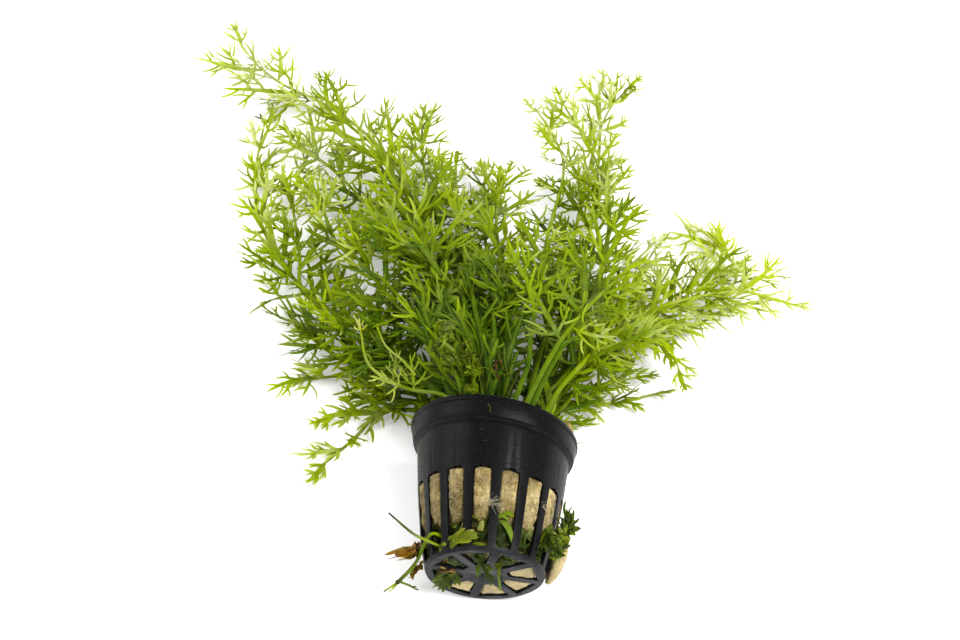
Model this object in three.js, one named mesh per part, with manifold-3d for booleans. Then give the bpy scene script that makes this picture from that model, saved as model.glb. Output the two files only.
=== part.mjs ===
// A potted water sprite, an aquarium fern, lying on its side on a table as it was photographed.
// A black net pot holds a wad of stone wool, a crown sits on the wool, and the fronds fan out of
// the pot's mouth, over each other and onto the table.
//
// Millimetres, +Z up. The table is z = 0 and +Y runs from the pot's base towards the frond tips.
// Everything is laid out from a point on the table between pot and tips, and the whole plant is
// moved at the end so that its origin is on the table under its middle.
import * as THREE from "three";
import { mergeVertices } from "three/addons/utils/BufferGeometryUtils.js";
import Module from "manifold-3d";

const wasm = await Module();
wasm.setup();

const DEG = Math.PI / 180;

// Net pot, in its own frame: its base is z = 0 and its mouth faces +Z. Its wall is widest at the
// lip and turns in below the knee. The soft pot is squeezed a little out of true, so that its mouth
// isn't quite parallel to its base.
const POT_HEIGHT = 50;
const BASE_RADIUS = 19;
const KNEE_RADIUS = 21.2;
const KNEE_HEIGHT = 10;
const SLOT_TOP = 26.5;
const SLOT_TOP_RADIUS = 23.4;
const COLLAR_HEIGHT = 42.6;
const COLLAR_RADIUS = 24.8;
const COLLAR_STEP = 1.4;
const COLLAR_STEP_HEIGHT = 0.6;
const LIP_RADIUS = 27.5;
const LIP_HEIGHT = 48.8;
const LIP_BEVEL = 0.4;
const LIP_WIDTH = 1.9;
const WALL = 1.1;
const FLOOR = 1.2;
const SLOT_COUNT = 16;
const SLOT_ANGLE = 15 * DEG;
const SLOT_SPIN = -5 * DEG;
const WINDOW_COUNT = 8;
const WINDOW_INNER = 7.2;
const WINDOW_OUTER = 15.3;
const WINDOW_SPIN = -10 * DEG;
const SPOKE_WIDTH = 2.8;
const SQUEEZE = 5 * DEG;

// Where the pot lies: the middle of its base and the turn of its axis away from +Y. It rests on
// the knee above its base and on its lip.
const POT_X = 1.5;
const POT_Y = -120.7;
const POT_TURN = 3.7 * DEG;
const POT_RISE = Math.atan((LIP_RADIUS - KNEE_RADIUS) / (LIP_HEIGHT - KNEE_HEIGHT));
const POT_Z = KNEE_RADIUS * Math.cos(POT_RISE) - KNEE_HEIGHT * Math.sin(POT_RISE);

// Stone wool and crown, in the pot's frame. A tongue of the wool stands out of the mouth and a
// loose flap of it hangs out of a slot. Pieces that touch are modelled a little apart.
const GAP = 0.35;
const WOOL_SLACK = 0.2;
const WOOL_SIDES = 24;
const WOOL_TOP = 36;
const TONGUE_ANGLE = -8 * DEG;
const TONGUE_WIDTH = 9;
const FLAP_ANGLE = SLOT_SPIN + (2 * Math.PI) / SLOT_COUNT;
const FLAP_WIDTH = 9;
const FLAP_NECK_WIDTH = 4.6;
const CROWN_RADIUS = 16;
const CROWN_HEIGHT = 5;
const CROWN_SIDES = 16;

// Stalks. Each tapers from the crown, through the mouth, along its own path.
const STALK_RADIUS = 1.15;
const TIP_RADIUS = 0.45;
const STALK_SIDES = 3;
const STALK_STEP = 16;
const STALK_GAP = 0.5;
const STALK_LIFT = 0.3;
const STALK_OFF_TABLE = 0.2;
const LIFT_SLOPE = 0.3;
const FIRST_FREE_POINT = 3;
const LAYING_ROUNDS = 60;

// Where the stalks leave the pot: the middle of its mouth, and the shares of their later spread
// across and up that they have there. In the mouth they are a spacing apart, and on the crown
// nearer to the axis.
const MOUTH_MIDDLE = [4.7, -71.5, 7];
const MOUTH_ACROSS = 0.7;
const MOUTH_UP = 0.83;
const MOUTH_REACH = 18.3;
const MOUTH_SPACING = 4.4;
const SPREADING_ROUNDS = 80;
const CROWN_SHARE = 0.68;

// Leaflets. Each is a thin star of three or five pointed lobes that stands on one side of a stalk.
// They grow shorter and lean further forward towards the tip of the frond.
const BLADE_HALF = 0.6;
const SPINE_REACH = 0.7;
const LOBE_REACH = 0.55;
const LEAF_GAP = 0.4;
const LOBE_OUTER_PART = 0.4;
const TABLE_GAP = 0.6;
const LAST_PLACE = 0.985;
const FOOT_ANGLE = 62 * DEG;
const HEAD_ANGLE = 38 * DEG;
const TIP_ANGLE = 6 * DEG;
const TIP_SHARE = 0.5;
const LENGTH_FROM = 0.85;
const LENGTH_TO = 1.1;
const ROLL_RANGE = 50 * DEG;
const TWIST_RANGE = 70 * DEG;
const TILTS = [0, 22, -22, 45, -45, 68, -68, 90];
const CUTS = [1, 0.8, 0.62];

// A leaflet's outline from its root round to its root, as shares of its reach along it and across
// it. Its tips and the notches between them take turns. It is thickest at its ridge point.
const RIDGE = 0.12;
const THREE_LOBES = [[0, 0], [0.6, 0.34], [0.25, 0.045], [1, 0], [0.22, -0.045], [0.54, -0.36]];
const FIVE_LOBES = [
  [0, 0], [0.46, 0.38], [0.2, 0.045], [0.8, 0.22], [0.56, 0.035], [1, 0],
  [0.5, -0.035], [0.74, -0.24], [0.18, -0.045], [0.4, -0.38],
];

// Bits of frond that are caught in the slots and in the base.
const BIT_RADIUS = 0.6;
const BIT_STEP = 5;
const SLOT_BITS = [-117.5, -95, -72.5, -50, -27.5];

// Fronds from the lowest to the highest: name, leaflets, reach of the longest one, share of the
// stalk that is bare, and the path of the stalk once it is out of the pot.
const FRONDS = [
  ["left_bottom", 7, 20, 0.4, [[-19, -44, 3], [-28, -41, 3], [-34, -43, 2], [-40, -51, 2], [-53, -65, 2]]],
  ["right_floor", 7, 19, 0.42, [[27, -41, 3], [34, -38, 2], [41, -40, 2], [51, -37, 2], [60, -35, 2]]],
  ["left_floor", 6, 19, 0.4, [[-19, -41, 4], [-28, -39, 3], [-37, -38, 2], [-45, -39, 2], [-51, -45, 2]]],
  ["left_tongue", 8, 22, 0.35, [[-18, -40, 5], [-30, -35, 3], [-42, -29, 3], [-51, -27, 2], [-62, -29, 2]]],
  ["low_left", 9, 25, 0.3,
    [[-16, -39, 8], [-28, -33, 5], [-45, -23, 4], [-56, -14, 3], [-68, 2, 2], [-73, 11, 2]]],
  ["right_low", 7, 19, 0.42, [[27, -43, 8], [34, -39, 6], [41, -34, 6], [48, -31, 5], [54, -30, 5]]],
  ["outer_left", 12, 27, 0.3,
    [[-14, -40, 11], [-29, -33, 9], [-45, -17, 7], [-60, 6, 5], [-75, 30, 3], [-84, 62, 2], [-82, 98, 2]]],
  ["right_mid", 7, 25, 0.32, [[23, -44, 13], [35, -21, 10], [47, -1, 7], [55, 13, 6], [64, 31, 4]]],
  ["right_hook", 11, 23, 0.38,
    [
      [26, -47, 16], [39, -26, 12], [55, -8, 9], [71, 2, 7], [84, 8, 6], [94, 17, 5], [88, 29, 5],
      [80, 40, 4],
    ]],
  ["right_crest", 11, 23, 0.36,
    [[19, -45, 18], [28, -15, 13], [36, 16, 9], [41, 42, 6], [44, 69, 4], [46, 97, 3], [46, 116, 3]]],
  ["centre", 7, 24, 0.34, [[6, -43, 21], [5, -13, 16], [3, 18, 11], [1, 43, 8], [2, 67, 5]]],
  ["left_inner", 9, 26, 0.3,
    [[-10, -48, 23], [-26, -35, 20], [-47, -11, 14], [-63, 6, 10], [-65, 28, 8], [-69, 50, 6], [-67, 69, 5]]],
  ["hooked_tip", 10, 21, 0.36,
    [[17, -50, 25], [23, -21, 20], [30, 12, 14], [36, 42, 9], [41, 70, 6], [50, 102, 4], [58, 114, 4]]],
  ["left_centre", 7, 25, 0.34,
    [[-2, -47, 25], [-10, -22, 21], [-18, 5, 16], [-25, 28, 11], [-30, 51, 8], [-29, 67, 7]]],
  ["right_drop", 8, 20, 0.36,
    [[25, -54, 26], [36, -35, 22], [47, -21, 18], [57, -17, 16], [65, -26, 17], [68, -37, 17]]],
  ["left_arch", 9, 26, 0.32,
    [[-4, -53, 31], [-14, -26, 26], [-28, 13, 16], [-41, 45, 10], [-54, 66, 7], [-72, 85, 6]]],
  ["far_right", 11, 25, 0.34,
    [[24, -59, 31], [35, -41, 28], [49, -20, 22], [69, -5, 16], [92, 3, 12], [108, 0, 10]]],
  ["upright_left", 9, 24, 0.36,
    [[2, -54, 34], [-3, -24, 29], [-10, 10, 20], [-16, 38, 13], [-21, 68, 9], [-22, 95, 6]]],
  ["left_mid", 7, 25, 0.34,
    [[-6, -57, 36], [-17, -35, 32], [-30, -12, 25], [-42, 12, 18], [-54, 30, 13], [-58, 60, 9]]],
  ["centre_right", 7, 23, 0.36, [[8, -57, 39], [9, -28, 33], [7, 7, 24], [6, 37, 16], [10, 62, 11]]],
  ["tall_right", 10, 24, 0.34,
    [[19, -63, 40], [29, -38, 36], [38, -13, 28], [44, 15, 20], [47, 45, 13], [42, 73, 9], [31, 103, 7]]],
  ["top_left", 13, 28, 0.34,
    [[1, -62, 42], [-3, -36, 38], [-17, 6, 25], [-31, 64, 11], [-54, 97, 7], [-82, 118, 6], [-95, 138, 6]]],
  ["centre_left", 8, 23, 0.36, [[3, -63, 45], [-1, -33, 40], [-5, 2, 29], [-8, 36, 18], [-9, 67, 11]]],
  ["upright_right", 10, 21, 0.36,
    [[14, -66, 46], [17, -39, 42], [21, -10, 33], [24, 20, 23], [31, 64, 12], [28, 80, 10], [21, 98, 8]]],
  ["pale_shoot", 8, 13, 0.45,
    [[-13, -66, 43], [-24, -62, 40], [-33, -56, 38], [-38, -46, 37], [-40, -34, 36]]],
  ["bright_right", 9, 20, 0.36, [[18, -67, 48], [24, -52, 47], [34, -32, 42], [49, -5, 31], [62, 19, 20]]],
];

// A fraction from 0 to 1 that looks random and is always the same for the same two numbers.
function chance(seed, index) {
  const value = Math.sin(seed * 12.9898 + index * 78.233) * 43758.5453;
  return value - Math.floor(value);
}

const vec = (x, y, z) => new THREE.Vector3(x, y, z);
const mix = (a, b, share) => a + (b - a) * share;

// Joining and cutting.
function toSolid(geometry) {
  const bare = geometry.clone();
  bare.deleteAttribute("normal");
  bare.deleteAttribute("uv");
  const merged = mergeVertices(bare, 1e-4);
  const vertProperties = new Float32Array(merged.attributes.position.array);
  const triVerts = new Uint32Array(merged.index.array);
  return new wasm.Manifold(new wasm.Mesh({ numProp: 3, vertProperties, triVerts }));
}

function toGeometry(solid) {
  const mesh = solid.getMesh();
  const geometry = new THREE.BufferGeometry();
  geometry.setAttribute("position", new THREE.BufferAttribute(new Float32Array(mesh.vertProperties), 3));
  geometry.setIndex(new THREE.BufferAttribute(new Uint32Array(mesh.triVerts), 1));
  return geometry;
}

function fromFaces(points, faces) {
  const geometry = new THREE.BufferGeometry();
  const places = points.flatMap((point) => point.toArray());
  geometry.setAttribute("position", new THREE.Float32BufferAttribute(places, 3));
  geometry.setIndex(faces.flat());
  return geometry;
}

const join = (solids) => solids.reduce((sum, solid) => sum.add(solid));

// Where the pot lies, as a matrix from its own frame.
function potMatrix() {
  const side = vec(Math.cos(POT_TURN), -Math.sin(POT_TURN), 0);
  const axis = vec(
    Math.sin(POT_TURN) * Math.cos(POT_RISE),
    Math.cos(POT_TURN) * Math.cos(POT_RISE),
    Math.sin(POT_RISE),
  );
  const down = new THREE.Vector3().crossVectors(axis, side);
  const matrix = new THREE.Matrix4().makeBasis(side, down, axis);
  return matrix.setPosition(POT_X, POT_Y, POT_Z);
}

const POT = potMatrix();
const POT_BACK = POT.clone().invert();

// The squeeze turns each level of the pot a little more than the one below it.
function squeeze(point) {
  const turn = (SQUEEZE * point.z) / POT_HEIGHT;
  return vec(point.x * Math.cos(turn), point.y, point.z - point.x * Math.sin(turn));
}

function squeezed(geometry) {
  const places = geometry.attributes.position;
  for (let i = 0; i < places.count; i += 1) {
    const point = squeeze(new THREE.Vector3().fromBufferAttribute(places, i));
    places.setXYZ(i, point.x, point.y, point.z);
  }
  return geometry;
}

// A place in or on the pot, from its distance to the axis, its angle and its height over the base.
function potPlace(radius, angle, height) {
  return squeeze(vec(radius * Math.cos(angle), radius * Math.sin(angle), height)).applyMatrix4(POT);
}

// The outer radius of the pot's wall at a height.
function wallRadius(height) {
  if (height < KNEE_HEIGHT) return mix(BASE_RADIUS, KNEE_RADIUS, Math.max(0, height) / KNEE_HEIGHT);
  if (height < SLOT_TOP) {
    return mix(KNEE_RADIUS, SLOT_TOP_RADIUS, (height - KNEE_HEIGHT) / (SLOT_TOP - KNEE_HEIGHT));
  }
  if (height < COLLAR_HEIGHT) {
    return mix(SLOT_TOP_RADIUS, COLLAR_RADIUS, (height - SLOT_TOP) / (COLLAR_HEIGHT - SLOT_TOP));
  }
  return LIP_RADIUS;
}

// Net pot. Its wall has two columns of facets for each slot: one over the slot, one over the rib.
function potShell() {
  const outline = [
    [0, 0], [BASE_RADIUS, 0], [wallRadius(FLOOR), FLOOR], [KNEE_RADIUS, KNEE_HEIGHT],
    [SLOT_TOP_RADIUS, SLOT_TOP], [COLLAR_RADIUS, COLLAR_HEIGHT],
    [COLLAR_RADIUS + COLLAR_STEP, COLLAR_HEIGHT + COLLAR_STEP_HEIGHT], [LIP_RADIUS, LIP_HEIGHT],
    [LIP_RADIUS - LIP_BEVEL, POT_HEIGHT], [LIP_RADIUS - LIP_WIDTH, POT_HEIGHT],
    [COLLAR_RADIUS - WALL, COLLAR_HEIGHT], [SLOT_TOP_RADIUS - WALL, SLOT_TOP],
    [KNEE_RADIUS - WALL, KNEE_HEIGHT], [wallRadius(FLOOR) - WALL, FLOOR], [0, FLOOR],
  ];
  const slotRows = [2, 3, 11, 12];
  const columns = SLOT_COUNT * 2;
  const points = [];
  for (let i = 0; i < columns; i += 1) {
    const middle = SLOT_SPIN + (Math.floor(i / 2) * 2 * Math.PI) / SLOT_COUNT;
    const angle = middle + (i % 2 === 0 ? -SLOT_ANGLE / 2 : SLOT_ANGLE / 2);
    for (const [r, z] of outline) points.push(vec(r * Math.cos(angle), r * Math.sin(angle), z));
  }
  const at = (column, row) => (column % columns) * outline.length + row;
  const faces = [];
  const quad = (a, b, c, d) => faces.push([a, b, c], [a, c, d]);
  for (let i = 0; i < columns; i += 1) {
    const overSlot = i % 2 === 0;
    for (let row = 0; row < outline.length - 1; row += 1) {
      const open = overSlot && slotRows.includes(row);
      if (!open) quad(at(i, row), at(i + 1, row), at(i + 1, row + 1), at(i, row + 1));
    }
    if (overSlot) {
      quad(at(i, 3), at(i, 2), at(i, 13), at(i, 12));
      quad(at(i, 4), at(i, 3), at(i, 12), at(i, 11));
      quad(at(i + 1, 2), at(i + 1, 3), at(i + 1, 12), at(i + 1, 13));
      quad(at(i + 1, 3), at(i + 1, 4), at(i + 1, 11), at(i + 1, 12));
      quad(at(i, 2), at(i + 1, 2), at(i + 1, 13), at(i, 13));
      quad(at(i + 1, 4), at(i, 4), at(i, 11), at(i + 1, 11));
    }
  }
  return toSolid(fromFaces(points, faces));
}

// A window in the base is the wedge between two spokes.
function windowCutter(angle) {
  const half = Math.PI / WINDOW_COUNT;
  const inner = WINDOW_INNER * Math.tan(half) - SPOKE_WIDTH / 2 / Math.cos(half);
  const outer = WINDOW_OUTER * Math.tan(half) - SPOKE_WIDTH / 2 / Math.cos(half);
  const shape = new THREE.Shape();
  shape.moveTo(WINDOW_INNER, -inner);
  shape.lineTo(WINDOW_OUTER, -outer);
  shape.lineTo(WINDOW_OUTER, outer);
  shape.lineTo(WINDOW_INNER, inner);
  const cutter = new THREE.ExtrudeGeometry(shape, { depth: 3 * FLOOR, bevelEnabled: false });
  cutter.translate(0, 0, -FLOOR);
  cutter.rotateZ(angle);
  return toSolid(cutter);
}

function netPot() {
  let pot = potShell();
  for (let i = 0; i < WINDOW_COUNT; i += 1) {
    pot = pot.subtract(windowCutter(WINDOW_SPIN + (i * 2 * Math.PI) / WINDOW_COUNT));
  }
  return squeezed(toGeometry(pot));
}

// A slab of wool: an outline of distances from the axis and heights, given a width.
function woolSlab(outline, width, angle) {
  const shape = new THREE.Shape(outline.map(([r, z]) => new THREE.Vector2(r, z)));
  const slab = new THREE.ExtrudeGeometry(shape, { depth: width, bevelEnabled: false });
  slab.rotateX(Math.PI / 2);
  slab.translate(0, width / 2, 0);
  slab.rotateZ(angle);
  return toSolid(slab);
}

// Stone wool: a wad that fills the pot up to below its collar, loose around its lower end.
function wool() {
  const slack = WALL + GAP + WOOL_SLACK;
  const outline = [
    [0, FLOOR + GAP], [14.5, FLOOR + GAP], [17.2, 9], [wallRadius(14) - slack, 14],
    [wallRadius(34) - slack, 34], [19.5, WOOL_TOP], [0, WOOL_TOP],
  ];
  const lathe = new THREE.LatheGeometry(outline.map(([r, z]) => new THREE.Vector2(r, z)), WOOL_SIDES);
  lathe.rotateX(Math.PI / 2);
  const tongue = woolSlab([
    [17.5, 33], [22, 33], [22.4, 42], [24.2, 49.5], [25.4, 52.5], [24.8, 56], [22.6, 57],
    [20.6, 54], [20.4, 44],
  ], TONGUE_WIDTH, TONGUE_ANGLE);
  const neck = woolSlab([[17.5, 16], [24, 16], [24, 21.5], [17.5, 21.5]], FLAP_NECK_WIDTH, FLAP_ANGLE);
  const flap = woolSlab([
    [23.3, 22], [25.2, 21], [26.3, 17], [25.6, 10], [23.6, 4], [21.6, 0.8], [20.5, 1.4],
    [21.6, 6], [22.6, 12],
  ], FLAP_WIDTH, FLAP_ANGLE);
  return squeezed(toGeometry(join([toSolid(lathe), tongue, neck, flap])));
}

// Crown: the low knob that the stalks grow from.
function crownHeight(radius) {
  return WOOL_TOP + GAP + CROWN_HEIGHT * (1 - (radius / CROWN_RADIUS) ** 2);
}

function crown() {
  const points = [new THREE.Vector2(0, WOOL_TOP + GAP)];
  for (const share of [1, 0.75, 0.4, 0]) {
    points.push(new THREE.Vector2(CROWN_RADIUS * share, crownHeight(CROWN_RADIUS * share)));
  }
  const lathe = new THREE.LatheGeometry(points, CROWN_SIDES);
  lathe.rotateX(Math.PI / 2);
  return squeezed(toGeometry(toSolid(lathe)));
}

// Where each stalk crosses the mouth, in the pot's frame: spread out, and in the order in which the
// stalks lie side by side and above each other further out.
function mouthPoints() {
  const [middleX, middleY, middleZ] = MOUTH_MIDDLE;
  const points = FRONDS.map(([, , , , path]) => {
    const [x, , z] = path[0];
    const spot = vec(mix(middleX, x, MOUTH_ACROSS), middleY, middleZ + MOUTH_UP * z).applyMatrix4(POT_BACK);
    return new THREE.Vector2(spot.x, spot.y);
  });
  for (let round = 0; round < SPREADING_ROUNDS; round += 1) {
    for (let i = 0; i < points.length; i += 1) {
      for (let j = 0; j < i; j += 1) {
        const apart = points[i].clone().sub(points[j]);
        const short = MOUTH_SPACING - apart.length();
        if (short > 0) {
          apart.setLength(short / 2);
          points[i].add(apart);
          points[j].sub(apart);
        }
      }
    }
    points.forEach((point) => point.clampLength(0, MOUTH_REACH));
  }
  return points;
}

// The smooth path of a stalk, in steps of about STALK_STEP.
function stalkPath(mouth, path) {
  const foot = mouth.clone().multiplyScalar(CROWN_SHARE);
  const slope = (2 * CROWN_HEIGHT * foot.length()) / CROWN_RADIUS ** 2;
  const rise = GAP + STALK_RADIUS * Math.sin(Math.atan(slope));
  const start = squeeze(vec(foot.x, foot.y, crownHeight(foot.length()) + rise)).applyMatrix4(POT);
  const gate = squeeze(vec(mouth.x, mouth.y, POT_HEIGHT)).applyMatrix4(POT);
  const stations = [start, gate, ...path.map((place) => vec(...place))];
  const curve = new THREE.CatmullRomCurve3(stations, false, "centripetal");
  const steps = Math.round(curve.getLength() / STALK_STEP);
  return curve.getSpacedPoints(steps);
}

function stalkRadius(index, count) {
  return mix(STALK_RADIUS, TIP_RADIUS, index / (count - 1));
}

// Room taken. Everything on the plant is covered by round-ended rods, kept in a grid of cells.
const CELL = 10;
const POT_TEST_STEP = 2;
const rods = new Map();

function cellRange(a, b, reach) {
  const low = vec(Math.min(a.x, b.x), Math.min(a.y, b.y), Math.min(a.z, b.z)).subScalar(reach);
  const high = vec(Math.max(a.x, b.x), Math.max(a.y, b.y), Math.max(a.z, b.z)).addScalar(reach);
  return [low.divideScalar(CELL).floor(), high.divideScalar(CELL).floor()];
}

function eachCell(a, b, reach, visit) {
  const [low, high] = cellRange(a, b, reach);
  for (let x = low.x; x <= high.x; x += 1) {
    for (let y = low.y; y <= high.y; y += 1) {
      for (let z = low.z; z <= high.z; z += 1) {
        if (visit(`${x},${y},${z}`)) return true;
      }
    }
  }
  return false;
}

function takeRoom(rod) {
  eachCell(rod.a, rod.b, rod.radius, (key) => {
    if (!rods.has(key)) rods.set(key, []);
    rods.get(key).push(rod);
    return false;
  });
}

// The shortest distance between the middle lines of two rods.
function rodDistance(p, q) {
  const d1 = p.b.clone().sub(p.a);
  const d2 = q.b.clone().sub(q.a);
  const r = p.a.clone().sub(q.a);
  const a = d1.dot(d1);
  const e = d2.dot(d2);
  const f = d2.dot(r);
  const c = d1.dot(r);
  const b = d1.dot(d2);
  const denominator = a * e - b * b;
  let s = denominator > 1e-9 ? THREE.MathUtils.clamp((b * f - c * e) / denominator, 0, 1) : 0;
  let t = (b * s + f) / e;
  if (t < 0) {
    t = 0;
    s = THREE.MathUtils.clamp(-c / a, 0, 1);
  } else if (t > 1) {
    t = 1;
    s = THREE.MathUtils.clamp((b - c) / a, 0, 1);
  }
  return r.addScaledVector(d1, s).addScaledVector(d2, -t).length();
}

// How far a rod is too near to other rods, at worst, or 0 where it has room.
function shortage(rod, gap, counts) {
  let worst = 0;
  eachCell(rod.a, rod.b, rod.radius + gap, (key) => {
    for (const other of rods.get(key) ?? []) {
      if (counts(other)) worst = Math.max(worst, rod.radius + other.radius + gap - rodDistance(rod, other));
    }
    return false;
  });
  return worst;
}

const ofOthers = (owner) => (other) => other.owner !== owner;
const ofItself = (owner) => (other) => other.owner === owner;

function clearOfPot(rod) {
  const reach = rod.radius + GAP;
  const steps = Math.ceil(rod.a.distanceTo(rod.b) / POT_TEST_STEP);
  for (let i = 0; i <= steps; i += 1) {
    const spot = rod.a.clone().lerp(rod.b, i / steps).applyMatrix4(POT_BACK);
    spot.z += spot.x * Math.sin((SQUEEZE * spot.z) / POT_HEIGHT);
    const radius = Math.hypot(spot.x, spot.y);
    if (spot.z > -reach && spot.z < POT_HEIGHT + reach && radius < wallRadius(spot.z) + reach) return false;
  }
  return true;
}

// Stalks are laid from the lowest to the highest, and each is lifted where it crosses one below.
// Its first points, from the crown to just outside the mouth, stay where they are.
function layStalk(points, owner) {
  const count = points.length;
  const first = FIRST_FREE_POINT;
  const fall = LIFT_SLOPE * STALK_STEP;
  const lowest = STALK_RADIUS + STALK_OFF_TABLE;
  const lifts = new Array(count).fill(0);
  const laid = () => points.map((p, k) => vec(p.x, p.y, Math.max(p.z, lowest) + lifts[k]));
  const rodAt = (now, k) => ({ a: now[k], b: now[k + 1], radius: stalkRadius(k, count), owner });
  for (let round = 0; round < LAYING_ROUNDS; round += 1) {
    const now = laid();
    let moved = false;
    for (let k = 0; k < count - 1; k += 1) {
      const short = shortage(rodAt(now, k), STALK_GAP, ofOthers(owner));
      if (short > 0) {
        lifts[k] += k >= first ? STALK_LIFT + short / 2 : 0;
        lifts[k + 1] += k + 1 >= first ? STALK_LIFT + short / 2 : 0;
        moved = true;
      }
    }
    if (!moved) break;
    for (let k = first; k < count - 1; k += 1) lifts[k + 1] = Math.max(lifts[k + 1], lifts[k] - fall);
    for (let k = count - 2; k >= first; k -= 1) lifts[k] = Math.max(lifts[k], lifts[k + 1] - fall);
  }
  const now = laid();
  for (let k = 0; k < count - 1; k += 1) takeRoom(rodAt(now, k));
  return now;
}

// The solid of a stalk: rings of a few corners along its path.
function stalkSolid(points, radiusAt) {
  const count = points.length;
  const corners = [];
  const faces = [];
  let side = vec(1, 0, 0);
  for (let k = 0; k < count; k += 1) {
    const along = points[Math.min(k + 1, count - 1)].clone().sub(points[Math.max(k - 1, 0)]).normalize();
    side = side.addScaledVector(along, -side.dot(along)).normalize();
    const up = new THREE.Vector3().crossVectors(along, side);
    for (let c = 0; c < STALK_SIDES; c += 1) {
      const angle = (c * 2 * Math.PI) / STALK_SIDES;
      const corner = points[k].clone();
      corner.addScaledVector(side, radiusAt(k, count) * Math.cos(angle));
      corner.addScaledVector(up, radiusAt(k, count) * Math.sin(angle));
      corners.push(corner);
    }
    for (let c = 0; c < STALK_SIDES && k > 0; c += 1) {
      const here = k * STALK_SIDES + c;
      const next = k * STALK_SIDES + ((c + 1) % STALK_SIDES);
      faces.push([here - STALK_SIDES, next - STALK_SIDES, next], [here - STALK_SIDES, next, here]);
    }
  }
  const last = (count - 1) * STALK_SIDES;
  for (let c = 1; c < STALK_SIDES - 1; c += 1) {
    faces.push([0, c + 1, c], [last, last + c, last + c + 1]);
  }
  return toSolid(fromFaces(corners, faces));
}

// A leaflet: where it starts, which way it runs, which way its blade spreads, and its reach.
function leafPoint(leaf, along, across) {
  const point = leaf.root.clone().addScaledVector(leaf.along, along * leaf.reach);
  return point.addScaledVector(leaf.across, across * leaf.reach);
}

// A rod along the spine of a leaflet and one along each of its lobes.
function leafRods(leaf, owner) {
  const lobeLength = 0.4;
  const lobeFoot = 0.03;
  const spineEnd = 0.6;
  const tips = leaf.form.filter((point, i) => i % 2 === 1);
  const lobes = tips.map(([along, across]) => ({
    a: leafPoint(leaf, Math.max(0, along - lobeLength), Math.sign(across) * lobeFoot),
    b: leafPoint(leaf, along, across),
    radius: across === 0 ? SPINE_REACH : LOBE_REACH,
    owner,
  }));
  return [...lobes, { a: leaf.root, b: leafPoint(leaf, spineEnd, 0), radius: SPINE_REACH, owner }];
}

// The solid of a leaflet: its outline, with a point on each side of it that all its corners meet.
function leafSolid(leaf) {
  const points = leaf.form.map(([along, across]) => leafPoint(leaf, along, across));
  const count = points.length;
  const normal = new THREE.Vector3().crossVectors(leaf.along, leaf.across);
  points.push(leafPoint(leaf, RIDGE, 0).addScaledVector(normal, BLADE_HALF));
  points.push(leafPoint(leaf, RIDGE, 0).addScaledVector(normal, -BLADE_HALF));
  const faces = [];
  for (let i = 0; i < count; i += 1) {
    const next = (i + 1) % count;
    faces.push([next, i, count], [i, next, count + 1]);
  }
  return toSolid(fromFaces(points, faces));
}

// Which way a leaflet stands on its stalk, for a tilt out of the frond's own plane.
function leafAt(root, along, side, angle, tilt, twist, reach, form) {
  const up = new THREE.Vector3().crossVectors(side, along);
  if (up.z < 0) up.negate();
  const out = side.clone().multiplyScalar(Math.cos(tilt)).addScaledVector(up, Math.sin(tilt));
  const run = along.clone().multiplyScalar(Math.cos(angle)).addScaledVector(out, Math.sin(angle)).normalize();
  const flat = new THREE.Vector3().crossVectors(up, run).normalize();
  const across = flat.applyAxisAngle(run, twist);
  return { root, along: run, across, reach, form };
}

function hasRoom(leaf, owner, atTip) {
  const parts = leafRods(leaf, owner);
  const low = Math.min(...parts.map((rod) => rod.b.z));
  if (low < TABLE_GAP) return false;
  return parts.every((rod) => {
    if (!clearOfPot(rod) || shortage(rod, LEAF_GAP, ofOthers(owner)) > 0) return false;
    const outer = { a: rod.a.clone().lerp(rod.b, LOBE_OUTER_PART), b: rod.b, radius: rod.radius };
    return atTip || shortage(outer, LEAF_GAP, ofItself(owner)) === 0;
  });
}

// One leaflet of a frond, counted from its lowest to the one at its tip. They stand on alternate
// sides. One that has no room is tilted, then cut short, then left out.
function leaflet(points, owner, index) {
  const [, count, reach, bare] = FRONDS[owner];
  const atTip = index === count;
  const place = mix(bare, LAST_PLACE, index / count) * (points.length - 1);
  const k = Math.min(Math.floor(place), points.length - 2);
  const root = points[k].clone().lerp(points[k + 1], place - k);
  const along = points[k + 1].clone().sub(points[k]).normalize();
  const side = new THREE.Vector3().crossVectors(along, vec(0, 0, 1)).normalize();
  if ((index + owner) % 2) side.negate();
  const angle = atTip ? TIP_ANGLE : mix(FOOT_ANGLE, HEAD_ANGLE, index / count);
  const growth = mix(LENGTH_FROM, LENGTH_TO, chance(owner, index + 20));
  const length = reach * growth * mix(1, TIP_SHARE, index / count);
  const form = (index + owner) % 2 ? FIVE_LOBES : THREE_LOBES;
  const roll = (chance(owner, 1) - 0.5) * ROLL_RANGE;
  const twist = (chance(owner, index + 40) - 0.5) * TWIST_RANGE;
  for (const cut of CUTS) {
    for (const tilt of TILTS) {
      const leaf = leafAt(root, along, side, angle, roll + tilt * DEG, twist, length * cut, form);
      if (hasRoom(leaf, owner, atTip)) {
        leafRods(leaf, owner).forEach(takeRoom);
        return leaf;
      }
    }
  }
  return null;
}

// Every frond's leaflets. The tips come first, then the rest, from the topmost frond down.
function allLeaflets(stalks) {
  const found = FRONDS.map(() => []);
  const place = (owner, index) => {
    const leaf = leaflet(stalks[owner], owner, index);
    if (leaf) found[owner].push(leaf);
  };
  for (let owner = FRONDS.length - 1; owner >= 0; owner -= 1) place(owner, FRONDS[owner][1]);
  for (let owner = FRONDS.length - 1; owner >= 0; owner -= 1) {
    for (let index = FRONDS[owner][1] - 1; index >= 0; index -= 1) place(owner, index);
  }
  return found;
}

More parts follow.
